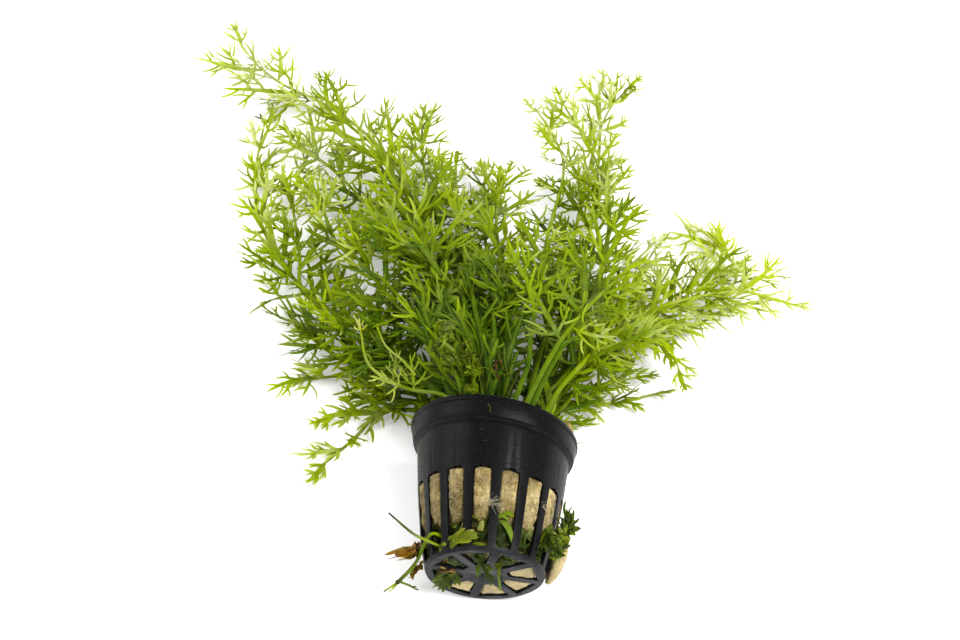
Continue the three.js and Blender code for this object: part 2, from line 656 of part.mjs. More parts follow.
// Trimmed and trapped bits of frond.
function stemSolid(points) {
  const curve = new THREE.CatmullRomCurve3(points, false, "centripetal");
  const path = curve.getSpacedPoints(Math.round(curve.getLength() / BIT_STEP));
  return stalkSolid(path, () => BIT_RADIUS);
}

function looseLeaf(root, towards, flat, reach, form) {
  const along = towards.clone().sub(root).normalize();
  const across = new THREE.Vector3().crossVectors(flat, along).normalize();
  return { root, along, across, reach, form };
}

// The two green stems that stick out of a slot on the left, low on the pot, where they cross, and
// the one that lies on the base. A stem's name, its points and its side leaf if it has one.
function trappedStems() {
  const upper = [
    potPlace(18.4, -139 * DEG, 3.4), potPlace(23.4, -143 * DEG, 4.4), vec(-22.6, -103, 18),
    vec(-29.7, -91.8, 12),
  ];
  const lower = [
    potPlace(18.4, -137 * DEG, 6.6), potPlace(21.6, -141 * DEG, 6.8), vec(-20.5, -117.5, 21),
    vec(-26, -117, 10), vec(-31, -115, 1.2),
  ];
  const fork = looseLeaf(lower[3], vec(-20.5, -116, 4), vec(0.3, 1, 0.4), 9, THREE_LOBES);
  const onBase = [potPlace(9.6, -63 * DEG, -GAP - BIT_RADIUS), potPlace(9.9, 60 * DEG, -GAP - BIT_RADIUS)];
  return [
    ["trapped_stem_upper", stemSolid(upper)],
    ["trapped_stem_lower", stemSolid(lower).add(leafSolid(fork))],
    ["base_stem", stemSolid(onBase)],
  ];
}

// Leaf bits: name, root, direction, flat side, reach, form and look.
function trappedLeaves() {
  const at = (radius, degrees, height) => potPlace(radius, degrees * DEG, height);
  return [
    ["dead_leaf", at(20.4, -163, 5), vec(-36, -109, 12), vec(0.3, 0.2, 1), 17, FIVE_LOBES, DEAD_BROWN],
    ["tuft_upper", at(21.9, -5, 9), at(26.6, -5, 22), at(30, -5, 9), 15, FIVE_LOBES, LEAF_GREEN],
    ["tuft_lower", at(21.2, -27.5, 12), at(25.5, -24, 2), at(30, -27.5, 12), 11, THREE_LOBES, LEAF_GREEN],
    ["window_leaf_left", at(12, 172, 0.4), at(16, 150, -4), vec(0, -1, 0.2), 10, FIVE_LOBES, LEAF_GREEN],
    ["window_leaf_middle", at(11, -99, 0.4), at(7, -70, -4), vec(0, -1, 0.2), 9, THREE_LOBES, LEAF_GREEN],
  ];
}

// Leaf bits that lie between the loose end of the wool and the wall, one behind each slot.
function slotLeaves() {
  const form = THREE_LOBES;
  return SLOT_BITS.map((degrees, i) => {
    const root = potPlace(16.4, degrees * DEG, 2.4);
    const towards = potPlace(18.6, degrees * DEG, 9.8);
    const outwards = potPlace(30, degrees * DEG, 2.4).sub(root);
    const across = new THREE.Vector3().crossVectors(outwards, towards.clone().sub(root)).normalize();
    const flat = new THREE.Vector3().crossVectors(towards.clone().sub(root), across);
    return [`slot_leaf_${i + 1}`, root, towards, flat, mix(7.4, 8.6, chance(i, 3)), form, LEAF_GREEN];
  });
}

// Build.
function material(colour, roughness, metalness = 0) {
  return new THREE.MeshStandardMaterial({ color: colour, roughness, metalness });
}

function piece(name, geometry, look) {
  const mesh = new THREE.Mesh(geometry, look);
  mesh.name = name;
  return mesh;
}

const BLACK_PLASTIC = material(0x1b1c1e, 0.45);
const STONE_WOOL = material(0xb9a878, 0.95);
const ROOTSTOCK = material(0x5d5a22, 0.8);
const LEAF_GREEN = material(0x6f9a1e, 0.6);
const DEAD_BROWN = material(0x7a4a22, 0.8);

const plant = new THREE.Group();
const potGroup = new THREE.Group();
potGroup.applyMatrix4(POT);
potGroup.add(piece("pot", netPot(), BLACK_PLASTIC));
potGroup.add(piece("stone_wool", wool(), STONE_WOOL));
potGroup.add(piece("crown", crown(), ROOTSTOCK));
plant.add(potGroup);

for (const [name, solid] of trappedStems()) plant.add(piece(name, toGeometry(solid), LEAF_GREEN));
for (const [name, root, towards, flat, reach, form, look] of [...trappedLeaves(), ...slotLeaves()]) {
  const leaf = looseLeaf(root, towards, flat, reach, form);
  plant.add(piece(name, toGeometry(leafSolid(leaf)), look));
}

const mouths = mouthPoints();
const stalks = FRONDS.map(([, , , , path], i) => layStalk(stalkPath(mouths[i], path), i));
const leaves = allLeaflets(stalks);
FRONDS.forEach(([name], i) => {
  const frond = join([stalkSolid(stalks[i], stalkRadius), ...leaves[i].map(leafSolid)]);
  plant.add(piece(`frond_${name}`, toGeometry(frond), LEAF_GREEN));
});

// The origin goes under the middle of the whole plant.
const box = new THREE.Box3().setFromObject(plant, true);
const middle = box.getCenter(new THREE.Vector3());
plant.position.set(-middle.x, -middle.y, -box.min.z);

export default plant;
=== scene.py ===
"""A potted water sprite, an aquarium fern, lying on its side on a table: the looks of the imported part."""
import math
from collections import namedtuple

import bmesh
import bpy
import numpy as np
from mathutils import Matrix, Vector, noise


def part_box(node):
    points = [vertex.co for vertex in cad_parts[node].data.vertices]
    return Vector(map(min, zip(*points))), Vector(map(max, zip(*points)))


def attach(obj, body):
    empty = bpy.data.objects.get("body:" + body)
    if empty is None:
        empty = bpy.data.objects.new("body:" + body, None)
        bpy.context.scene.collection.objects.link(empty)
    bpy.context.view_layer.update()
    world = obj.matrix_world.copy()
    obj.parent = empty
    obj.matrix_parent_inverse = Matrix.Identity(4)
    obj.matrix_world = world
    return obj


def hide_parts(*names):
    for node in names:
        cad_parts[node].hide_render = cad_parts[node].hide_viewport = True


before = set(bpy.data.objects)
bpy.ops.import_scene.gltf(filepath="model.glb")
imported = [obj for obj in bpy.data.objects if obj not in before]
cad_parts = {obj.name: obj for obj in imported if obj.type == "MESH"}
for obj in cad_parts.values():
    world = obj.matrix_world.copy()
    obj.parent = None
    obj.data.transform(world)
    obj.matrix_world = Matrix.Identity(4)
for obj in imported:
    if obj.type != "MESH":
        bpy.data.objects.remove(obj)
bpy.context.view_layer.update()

MM = 0.001
DEG = math.pi / 180
TAU = 2 * math.pi

# The part is laid out in millimetres from a point on the table between pot and tips, with the table
# at z = 0, and moved as a whole by part_shift(). The pot's own frame has its base at z = 0.
POT_HEIGHT = 50
BASE_RADIUS = 19
KNEE_RADIUS = 21.2
KNEE_HEIGHT = 10
SLOT_TOP = 26.5
SLOT_TOP_RADIUS = 23.4
COLLAR_HEIGHT = 42.6
COLLAR_RADIUS = 24.8
LIP_RADIUS = 27.5
LIP_HEIGHT = 48.8
LIP_WIDTH = 1.9
COLLAR_STEP = 1.4
WALL = 1.1
FLOOR = 1.2
SLOT_COUNT = 16
SLOT_ANGLE = 15 * DEG
SLOT_SPIN = -5 * DEG
WINDOW_COUNT = 8
WINDOW_INNER = 7.2
WINDOW_OUTER = 16.2
WINDOW_SPIN = -10 * DEG
SPOKE_WIDTH = 2.8
SQUEEZE = 5 * DEG

POT_TURN = 3.7 * DEG
POT_RISE = math.atan((LIP_RADIUS - KNEE_RADIUS) / (LIP_HEIGHT - KNEE_HEIGHT))
POT_PLACE = np.array([1.5, -120.7, KNEE_RADIUS * math.cos(POT_RISE) - KNEE_HEIGHT * math.sin(POT_RISE)])

GAP = 0.35
WOOL_SLACK = 0.2
WOOL_TOP = 36
TONGUE_ANGLE = -8 * DEG
FLAP_ANGLE = SLOT_SPIN + TAU / SLOT_COUNT
CROWN_RADIUS = 16
CROWN_HEIGHT = 5

STALK_RADIUS = 1.15
TIP_RADIUS = 0.45
STALK_STEP = 16
STALK_GAP = 0.5
STALK_LIFT = 0.3
STALK_OFF_TABLE = 0.2
LIFT_SLOPE = 0.3
FIRST_FREE_POINT = 3
LAYING_ROUNDS = 60

MOUTH_MIDDLE = (4.7, -71.5, 7)
MOUTH_ACROSS = 0.7
MOUTH_UP = 0.83
MOUTH_REACH = 18.3
MOUTH_SPACING = 4.4
SPREADING_ROUNDS = 80
CROWN_SHARE = 0.68

SPINE_REACH = 0.7
LOBE_REACH = 0.55
LEAF_GAP = 0.4
LOBE_OUTER_PART = 0.4
LOBE_LENGTH = 0.4
LOBE_FOOT = 0.03
SPINE_END = 0.6
TABLE_GAP = 0.6
POT_TEST_STEP = 2
LAST_PLACE = 0.985
FOOT_ANGLE = 62 * DEG
HEAD_ANGLE = 38 * DEG
TIP_ANGLE = 6 * DEG
TIP_SHARE = 0.5
LENGTH_FROM = 0.85
LENGTH_TO = 1.1
ROLL_RANGE = 50 * DEG
TWIST_RANGE = 70 * DEG
TILTS = [0, 22, -22, 45, -45, 68, -68, 90]
CUTS = [1, 0.8, 0.62]
THREE_LOBES = np.array([[0, 0], [0.6, 0.34], [0.25, 0.045], [1, 0], [0.22, -0.045], [0.54, -0.36]])
FIVE_LOBES = np.array([
    [0, 0], [0.46, 0.38], [0.2, 0.045], [0.8, 0.22], [0.56, 0.035], [1, 0],
    [0.5, -0.035], [0.74, -0.24], [0.18, -0.045], [0.4, -0.38],
])

# Fronds from the lowest to the highest: name, leaflets, reach of the longest one, share of the
# stalk that is bare, how yellow and light its green is, lower in the middle fronds as painted shade,
# and the path of the stalk once it is out of the pot.
Frond = namedtuple("Frond", "name leaflets reach bare yellow path")
FRONDS = [
    Frond("left_bottom", 7, 20, 0.4, 0.55, [
        [-19, -44, 3], [-28, -41, 3], [-34, -43, 2], [-40, -51, 2], [-53, -65, 2],
    ]),
    Frond("right_floor", 7, 19, 0.42, 0.5, [
        [27, -41, 3], [34, -38, 2], [41, -40, 2], [51, -37, 2], [60, -35, 2],
    ]),
    Frond("left_floor", 6, 19, 0.4, 0.5, [
        [-19, -41, 4], [-28, -39, 3], [-37, -38, 2], [-45, -39, 2], [-51, -45, 2],
    ]),
    Frond("left_tongue", 8, 22, 0.35, 0.5, [
        [-18, -40, 5], [-30, -35, 3], [-42, -29, 3], [-51, -27, 2], [-62, -29, 2],
    ]),
    Frond("low_left", 9, 25, 0.3, 0.5, [
        [-16, -39, 8], [-28, -33, 5], [-45, -23, 4], [-56, -14, 3], [-68, 2, 2], [-73, 11, 2],
    ]),
    Frond("right_low", 7, 19, 0.42, 0.5, [
        [27, -43, 8], [34, -39, 6], [41, -34, 6], [48, -31, 5], [54, -30, 5],
    ]),
    Frond("outer_left", 12, 27, 0.3, 0.65, [
        [-14, -40, 11], [-29, -33, 9], [-45, -17, 7], [-60, 6, 5], [-75, 30, 3], [-84, 62, 2],
        [-82, 98, 2],
    ]),
    Frond("right_mid", 7, 25, 0.32, 0.5, [
        [23, -44, 13], [35, -21, 10], [47, -1, 7], [55, 13, 6], [64, 31, 4],
    ]),
    Frond("right_hook", 11, 23, 0.38, 0.75, [
        [26, -47, 16], [39, -26, 12], [55, -8, 9], [71, 2, 7], [84, 8, 6], [94, 17, 5], [88, 29, 5],
        [80, 40, 4],
    ]),
    Frond("right_crest", 11, 23, 0.36, 0.6, [
        [19, -45, 18], [28, -15, 13], [36, 16, 9], [41, 42, 6], [44, 69, 4], [46, 97, 3], [46, 116, 3],
    ]),
    Frond("centre", 7, 24, 0.34, 0.4, [[6, -43, 21], [5, -13, 16], [3, 18, 11], [1, 43, 8], [2, 67, 5]]),
    Frond("left_inner", 9, 26, 0.3, 0.5, [
        [-10, -48, 23], [-26, -35, 20], [-47, -11, 14], [-63, 6, 10], [-65, 28, 8], [-69, 50, 6],
        [-67, 69, 5],
    ]),
    Frond("hooked_tip", 10, 21, 0.36, 0.65, [
        [17, -50, 25], [23, -21, 20], [30, 12, 14], [36, 42, 9], [41, 70, 6], [50, 102, 4], [58, 114, 4],
    ]),
    Frond("left_centre", 7, 25, 0.34, 0.4, [
        [-2, -47, 25], [-10, -22, 21], [-18, 5, 16], [-25, 28, 11], [-30, 51, 8], [-29, 67, 7],
    ]),
    Frond("right_drop", 8, 20, 0.36, 0.6, [
        [25, -54, 26], [36, -35, 22], [47, -21, 18], [57, -17, 16], [65, -26, 17], [68, -37, 17],
    ]),
    Frond("left_arch", 9, 26, 0.32, 0.5, [
        [-4, -53, 31], [-14, -26, 26], [-28, 13, 16], [-41, 45, 10], [-54, 66, 7], [-72, 85, 6],
    ]),
    Frond("far_right", 11, 25, 0.34, 0.8, [
        [24, -59, 31], [35, -41, 28], [49, -20, 22], [69, -5, 16], [92, 3, 12], [108, 0, 10],
    ]),
    Frond("upright_left", 9, 24, 0.36, 0.5, [
        [2, -54, 34], [-3, -24, 29], [-10, 10, 20], [-16, 38, 13], [-21, 68, 9], [-22, 95, 6],
    ]),
    Frond("left_mid", 7, 25, 0.34, 0.5, [
        [-6, -57, 36], [-17, -35, 32], [-30, -12, 25], [-42, 12, 18], [-54, 30, 13], [-58, 60, 9],
    ]),
    Frond("centre_right", 7, 23, 0.36, 0.45, [
        [8, -57, 39], [9, -28, 33], [7, 7, 24], [6, 37, 16], [10, 62, 11],
    ]),
    Frond("tall_right", 10, 24, 0.34, 0.6, [
        [19, -63, 40], [29, -38, 36], [38, -13, 28], [44, 15, 20], [47, 45, 13], [42, 73, 9], [31, 103, 7],
    ]),
    Frond("top_left", 13, 28, 0.34, 0.7, [
        [1, -62, 42], [-3, -36, 38], [-17, 6, 25], [-31, 64, 11], [-54, 97, 7], [-82, 118, 6],
        [-95, 138, 6],
    ]),
    Frond("centre_left", 8, 23, 0.36, 0.45, [
        [3, -63, 45], [-1, -33, 40], [-5, 2, 29], [-8, 36, 18], [-9, 67, 11],
    ]),
    Frond("upright_right", 10, 21, 0.36, 0.6, [
        [14, -66, 46], [17, -39, 42], [21, -10, 33], [24, 20, 23], [31, 64, 12], [28, 80, 10], [21, 98, 8],
    ]),
    Frond("pale_shoot", 8, 13, 0.45, 0.6, [
        [-13, -66, 43], [-24, -62, 40], [-33, -56, 38], [-38, -46, 37], [-40, -34, 36],
    ]),
    Frond("bright_right", 9, 20, 0.36, 0.62, [
        [18, -67, 48], [24, -52, 47], [34, -32, 42], [49, -5, 31], [62, 19, 20],
    ]),
]


def chance(seed, index):
    """A fraction from 0 to 1 that looks random and is always the same for the same two numbers."""
    value = math.sin(seed * 12.9898 + index * 78.233) * 43758.5453
    return value - math.floor(value)


def mix(a, b, share):
    return a + (b - a) * share


def unit(vector):
    return vector / np.linalg.norm(vector)


# The pot's frame.
POT_SIDE = np.array([math.cos(POT_TURN), -math.sin(POT_TURN), 0])
POT_AXIS = np.array([
    math.sin(POT_TURN) * math.cos(POT_RISE), math.cos(POT_TURN) * math.cos(POT_RISE), math.sin(POT_RISE),
])
POT_FRAME = np.array([POT_SIDE, np.cross(POT_AXIS, POT_SIDE), POT_AXIS])


def from_pot(points):
    return POT_PLACE + np.asarray(points) @ POT_FRAME


def to_pot(points):
    return (np.asarray(points) - POT_PLACE) @ POT_FRAME.T


def squeeze(points):
    """The squeeze turns each level of the pot a little more than the one below it."""
    x, y, z = np.moveaxis(np.asarray(points, float), -1, 0)
    turn = SQUEEZE * z / POT_HEIGHT
    return np.stack([x * np.cos(turn), y, z - x * np.sin(turn)], axis=-1)


def polar(radius, angle, height):
    """Points in the pot's frame from distances to its axis, angles and heights over its base."""
    radius, angle, height = np.broadcast_arrays(radius, angle, height)
    return np.stack([radius * np.cos(angle), radius * np.sin(angle), height], axis=-1).astype(float)


def pot_place(radius, angle, height):
    return from_pot(squeeze(polar(radius, angle, height)))


def wall_radius(height):
    """The outer radius of the pot's wall at a height."""
    return np.interp(height, [0, KNEE_HEIGHT, SLOT_TOP, COLLAR_HEIGHT, COLLAR_HEIGHT + 1e-6],
                     [BASE_RADIUS, KNEE_RADIUS, SLOT_TOP_RADIUS, COLLAR_RADIUS, LIP_RADIUS])


def part_shift():
    """How far the part is moved from its layout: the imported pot's lowest corner against its own."""
    levels = np.array([0, FLOOR, KNEE_HEIGHT])
    rings = [*zip(wall_radius(levels), levels), (LIP_RADIUS, LIP_HEIGHT)]
    turns = SLOT_SPIN + TAU / SLOT_COUNT * np.arange(SLOT_COUNT)
    angles = np.concatenate([turns - SLOT_ANGLE / 2, turns + SLOT_ANGLE / 2])
    corners = np.concatenate([pot_place(radius, angles, height) for radius, height in rings])
    return np.array(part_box("pot")[0]) / MM - corners.min(axis=0)


SHIFT = part_shift()


def add_object(name, data):
    made = bpy.data.objects.new(name, data)
    bpy.context.scene.collection.objects.link(made)
    return made


# Camera, at the photograph's angle.
CAMERA_DISTANCE = 818
CAMERA_ELEVATION = 50.3 * DEG
CAMERA_LENS = 86.25
CAMERA_SENSOR = 36


def make_camera():
    data = bpy.data.cameras.new("camera")
    data.lens = CAMERA_LENS
    data.sensor_width = CAMERA_SENSOR
    camera = add_object("camera", data)
    place = np.array([0, -math.cos(CAMERA_ELEVATION), math.sin(CAMERA_ELEVATION)]) * CAMERA_DISTANCE
    camera.location = (place + SHIFT) * MM
    camera.rotation_euler = (math.pi / 2 - CAMERA_ELEVATION, 0, 0)
    bpy.context.scene.camera = camera


make_camera()


# Layout of stalks and leaflets, the same as the solids' own.
class Spline:
    """A centripetal Catmull-Rom curve through points."""
    DIVISIONS = 200

    def __init__(self, points):
        points = np.asarray(points, float)
        first = 2 * points[0] - points[1]
        last = 2 * points[-1] - points[-2]
        self.points = np.vstack([first, points, last])
        share = np.linspace(0, 1, self.DIVISIONS + 1)
        steps = np.linalg.norm(np.diff(self.at(share), axis=0), axis=1)
        self.shares = share
        self.lengths = np.concatenate([[0], np.cumsum(steps)])
        self.length = self.lengths[-1]

    def at(self, share):
        count = len(self.points) - 3
        place = np.asarray(share) * count
        k = np.minimum(place.astype(int), count - 1)
        w = (place - k)[:, None]
        p0, p1, p2, p3 = (self.points[k + i] for i in range(4))
        pairs = (p0, p1), (p1, p2), (p2, p3)
        d0, d1, d2 = (np.sqrt(np.linalg.norm(b - a, axis=1))[:, None] for a, b in pairs)
        t1 = ((p1 - p0) / d0 - (p2 - p0) / (d0 + d1) + (p2 - p1) / d1) * d1
        t2 = ((p2 - p1) / d1 - (p3 - p1) / (d1 + d2) + (p3 - p2) / d2) * d1
        return p1 + t1 * w + (3 * (p2 - p1) - 2 * t1 - t2) * w ** 2 + (2 * (p1 - p2) + t1 + t2) * w ** 3

    def spaced(self, steps):
        lengths = np.linspace(0, self.length, steps + 1)
        return self.at(np.interp(lengths, self.lengths, self.shares))


def crown_height(radius):
    return WOOL_TOP + GAP + CROWN_HEIGHT * (1 - (radius / CROWN_RADIUS) ** 2)


def mouth_points():
    """Where each stalk crosses the mouth, in the pot's frame."""
    middle = np.array(MOUTH_MIDDLE)
    points = []
    for row in FRONDS:
        x, _, z = row.path[0]
        spot = to_pot([mix(middle[0], x, MOUTH_ACROSS), middle[1], middle[2] + MOUTH_UP * z])
        points.append(spot[:2])
    for _ in range(SPREADING_ROUNDS):
        for i in range(len(points)):
            for j in range(i):
                apart = points[i] - points[j]
                short = MOUTH_SPACING - math.hypot(*apart)
                if short > 0:
                    apart = apart * (short / 2 / math.hypot(*apart))
                    points[i] = points[i] + apart
                    points[j] = points[j] - apart
        points = [p * min(1, MOUTH_REACH / math.hypot(*p)) for p in points]
    return points


def stalk_path(mouth, path):
    """The smooth path of a stalk, in steps of about STALK_STEP."""
    foot = mouth * CROWN_SHARE
    reach = math.hypot(*foot)
    slope = 2 * CROWN_HEIGHT * reach / CROWN_RADIUS ** 2
    rise = GAP + STALK_RADIUS * math.sin(math.atan(slope))
    start = from_pot(squeeze([*foot, crown_height(reach) + rise]))
    gate = from_pot(squeeze([*mouth, POT_HEIGHT]))
    curve = Spline([start, gate, *path])
    return curve.spaced(math.floor(curve.length / STALK_STEP + 0.5))


def stalk_radius(index, count):
    return mix(STALK_RADIUS, TIP_RADIUS, np.asarray(index) / (count - 1))


def rod_distances(p, q):
    """The shortest distances between the middle lines of the rods p and q, as a table."""
    d1 = (p[:, 3:6] - p[:, :3])[:, None]
    d2 = (q[:, 3:6] - q[:, :3])[None]
    r = p[:, None, :3] - q[None, :, :3]
    a, e, f, c, b = ((m * n).sum(-1) for m, n in ((d1, d1), (d2, d2), (d2, r), (d1, r), (d1, d2)))
    denominator = a * e - b * b
    crossing = denominator > 1e-9
    s = np.where(crossing, np.clip((b * f - c * e) / np.where(crossing, denominator, 1), 0, 1), 0)
    t = (b * s + f) / e
    s = np.where(t < 0, np.clip(-c / a, 0, 1), np.where(t > 1, np.clip((b - c) / a, 0, 1), s))
    t = np.clip(t, 0, 1)
    return np.linalg.norm(r + d1 * s[..., None] - d2 * t[..., None], axis=-1)


class Room:
    """Room taken by stalks and leaflets, as round-ended rods: two ends, a radius and an owner."""

    def __init__(self):
        self.rods = np.zeros((0, 8))

    def take(self, rods):
        self.rods = np.vstack([self.rods, rods])

    def shortages(self, rods, gap, owner, own):
        """How far each of some rods is too near to its owner's rods, or to all the others."""
        rows = self.rods[(self.rods[:, 7] == owner) == own]
        if not len(rows):
            return np.zeros(len(rods))
        short = rods[:, None, 6] + rows[None, :, 6] + gap - rod_distances(rods, rows)
        return np.maximum(short.max(axis=1), 0)


room = Room()


def rods_between(a, b, radius, owner):
    count = len(a)
    return np.column_stack([a, b, np.broadcast_to(radius, count), np.full(count, owner)])


def lay_stalk(points, owner):
    """Stalks are laid from the lowest to the highest, and each is lifted where it crosses one below."""
    count = len(points)
    fall = LIFT_SLOPE * STALK_STEP
    lifts = np.zeros(count)
    free = np.arange(count) >= FIRST_FREE_POINT
    base = points.copy()
    base[:, 2] = np.maximum(base[:, 2], STALK_RADIUS + STALK_OFF_TABLE)
    radius = stalk_radius(np.arange(count - 1), count)

    def laid():
        now = base + np.outer(lifts, [0, 0, 1])
        return now, rods_between(now[:-1], now[1:], radius, owner)

    for _ in range(LAYING_ROUNDS):
        short = room.shortages(laid()[1], STALK_GAP, owner, False)
        if not short.any():
            break
        push = np.where(short > 0, STALK_LIFT + short / 2, 0)
        lifts[:-1] += push * free[:-1]
        lifts[1:] += push * free[1:]
        for k in range(FIRST_FREE_POINT, count - 1):
            lifts[k + 1] = max(lifts[k + 1], lifts[k] - fall)
        for k in range(count - 2, FIRST_FREE_POINT - 1, -1):
            lifts[k] = max(lifts[k], lifts[k + 1] - fall)
    now, rods = laid()
    room.take(rods)
    return now


class Leaf:
    """A leaflet: where it starts, which way it runs, which way its blade spreads, and its reach."""

    def __init__(self, root, along, across, reach, form):
        self.root, self.along, self.across, self.reach, self.form = root, along, across, reach, form

    def point(self, along, across):
        return self.root + self.along * along * self.reach + self.across * across * self.reach


def leaf_rods(leaf, owner):
    tips = leaf.form[1::2]
    starts = [leaf.point(max(0, u - LOBE_LENGTH), np.sign(v) * LOBE_FOOT) for u, v in tips] + [leaf.root]
    ends = [leaf.point(u, v) for u, v in tips] + [leaf.point(SPINE_END, 0)]
    radii = [SPINE_REACH if v == 0 else LOBE_REACH for _, v in tips] + [SPINE_REACH]
    return rods_between(np.array(starts), np.array(ends), radii, owner)


def turned(vector, axis, angle):
    return (vector * math.cos(angle) + np.cross(axis, vector) * math.sin(angle)
            + axis * np.dot(axis, vector) * (1 - math.cos(angle)))


def leaf_at(root, along, side, angle, tilt, twist, reach, form):
    """A leaflet that stands on its stalk at an angle, for a tilt out of the frond's own plane."""
    up = np.cross(side, along)
    if up[2] < 0:
        up = -up
    out = side * math.cos(tilt) + up * math.sin(tilt)
    run = unit(along * math.cos(angle) + out * math.sin(angle))
    across = turned(unit(np.cross(up, run)), run, twist)
    return Leaf(root, run, across, reach, form)


def clear_of_pot(rods, gap=GAP):
    for rod in rods:
        reach = rod[6] + gap
        steps = math.ceil(np.linalg.norm(rod[3:6] - rod[:3]) / POT_TEST_STEP)
        spots = to_pot(rod[:3] + np.outer(np.arange(steps + 1) / steps, rod[3:6] - rod[:3]))
        heights = spots[:, 2] + spots[:, 0] * np.sin(SQUEEZE * spots[:, 2] / POT_HEIGHT)
        radii = np.hypot(spots[:, 0], spots[:, 1])
        inside = (heights > -reach) & (heights < POT_HEIGHT + reach) & (radii < wall_radius(heights) + reach)
        if inside.any():
            return False
    return True


def has_room(leaf, owner, at_tip):
    rods = leaf_rods(leaf, owner)
    if rods[:, 5].min() < TABLE_GAP or not clear_of_pot(rods):
        return False
    if room.shortages(rods, LEAF_GAP, owner, False).any():
        return False
    outer = rods.copy()
    outer[:, :3] = mix(rods[:, :3], rods[:, 3:6], LOBE_OUTER_PART)
    return at_tip or not room.shortages(outer, LEAF_GAP, owner, True).any()


def along_stalk(points, place):
    """The point at a place along a stalk, and which way the stalk runs and its side lies there."""
    k = min(int(place), len(points) - 2)
    root = mix(points[k], points[k + 1], place - k)
    along = unit(points[k + 1] - points[k])
    return root, along, unit(np.cross(along, [0, 0, 1]))


def leaflet(points, owner, index):
    """One leaflet of a frond. One that has no room is tilted, then cut short, then left out."""
    _, count, reach, bare, _, _ = FRONDS[owner]
    at_tip = index == count
    root, along, side = along_stalk(points, mix(bare, LAST_PLACE, index / count) * (len(points) - 1))
    odd = (index + owner) % 2
    if odd:
        side = -side
    angle = TIP_ANGLE if at_tip else mix(FOOT_ANGLE, HEAD_ANGLE, index / count)
    growth = mix(LENGTH_FROM, LENGTH_TO, chance(owner, index + 20))
    length = reach * growth * mix(1, TIP_SHARE, index / count)
    form = FIVE_LOBES if odd else THREE_LOBES
    roll = (chance(owner, 1) - 0.5) * ROLL_RANGE
    twist = (chance(owner, index + 40) - 0.5) * TWIST_RANGE
    for cut in CUTS:
        for tilt in TILTS:
            leaf = leaf_at(root, along, side, angle, roll + tilt * DEG, twist, length * cut, form)
            if has_room(leaf, owner, at_tip):
                room.take(leaf_rods(leaf, owner))
                return leaf
    return None


def all_leaflets(stalks):
    """Every frond's leaflets. The tips come first, then the rest, from the topmost frond down."""
    found = [[] for _ in FRONDS]
    downwards = list(enumerate(FRONDS))[::-1]
    order = [(owner, row.leaflets) for owner, row in downwards]
    order += [(owner, index) for owner, row in downwards for index in reversed(range(row.leaflets))]
    for owner, index in order:
        leaf = leaflet(stalks[owner], owner, index)
        if leaf is not None:
            found[owner].append((leaf, index / FRONDS[owner].leaflets))
    return found


# Meshes.
def add_mesh(name, points, faces, look, attributes=(), smooth=True):
    """A mesh object from points in layout millimetres. Faces are lists of arrays of rows of corners."""
    mesh = bpy.data.meshes.new(name)
    counts = np.concatenate([np.full(len(rows), rows.shape[1]) for rows in faces])
    corners = np.concatenate([rows.ravel() for rows in faces])
    starts = np.concatenate([[0], np.cumsum(counts)[:-1]])
    mesh.vertices.add(len(points))
    mesh.vertices.foreach_set("co", ((points + SHIFT) * MM).astype(np.float32).ravel())
    mesh.loops.add(len(corners))
    mesh.loops.foreach_set("vertex_index", corners.astype(np.int32))
    mesh.polygons.add(len(counts))
    mesh.polygons.foreach_set("loop_start", starts.astype(np.int32))
    mesh.polygons.foreach_set("use_smooth", np.full(len(counts), smooth))
    for key, values in attributes:
        mesh.attributes.new(key, "FLOAT", "POINT").data.foreach_set("value", values.astype(np.float32))
    mesh.update(calc_edges=True)
    mesh.validate()
    mesh.materials.append(look)
    return add_object(name, mesh)


def settle(piece, slot, *nodes):
    """The piece rides with the plant and stands for some nodes, which are hidden. The slot is not used."""
    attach(piece, "root")
    if nodes:
        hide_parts(*nodes)


def joined(parts):
    """One lot of points and faces from several."""
    starts = np.cumsum([0] + [len(points) for points, _ in parts])
    faces = [rows + start for (_, lot), start in zip(parts, starts) for rows in lot]
    return np.concatenate([points for points, _ in parts]), faces


class Shape:
    """Points, faces and the two leaf attributes of a mesh that is put together from parts."""

    def __init__(self):
        self.parts, self.tones, self.ribs, self.smooth = [], [], [], []

    def add(self, points, faces, tones, ribs=None, smooth=True):
        self.parts.append((points, faces))
        self.tones.append(tones)
        self.ribs.append(np.zeros(len(points)) if ribs is None else ribs)
        self.smooth += [np.full(len(rows), smooth) for rows in faces]

    def settle(self, name, look, slot, *nodes):
        attributes = [("tone", np.concatenate(self.tones)), ("rib", np.concatenate(self.ribs))]
        points, faces = joined(self.parts)
        settle(add_mesh(name, points, faces, look, attributes, np.concatenate(self.smooth)), slot, *nodes)


def grid_quads(ids):
    """Faces of a grid of points, from the rows of their numbers."""
    return np.stack([ids[:-1, :-1], ids[:-1, 1:], ids[1:, 1:], ids[1:, :-1]], axis=-1).reshape(-1, 4)


def ring_ids(count, sides):
    """The numbers of the points of rings, one after another, each with its first once more at its end."""
    ids = np.arange(count * sides).reshape(count, sides)
    return np.column_stack([ids, ids[:, 0]])


def closed_rings(count, sides):
    """Faces of rings that are closed to a point at each end. The numbers of the ends come last."""
    ids = ring_ids(count, sides)
    first, last = np.full((2, sides), [[count * sides], [count * sides + 1]])
    foot = np.column_stack([first, ids[0, 1:], ids[0, :-1]])
    head = np.column_stack([last, ids[-1, :-1], ids[-1, 1:]])
    return [grid_quads(ids), np.concatenate([foot, head])]


def capped_rings(count, sides):
    """Faces of rings that are closed by one face at each end."""
    ids = ring_ids(count, sides)
    return [grid_quads(ids), ids[:1, -2::-1], ids[-1:, :-1]]


def directions(path):
    """Which way a path runs at each of its points."""
    along = np.gradient(path, axis=-2)
    return along / np.linalg.norm(along, axis=-1)[..., None]


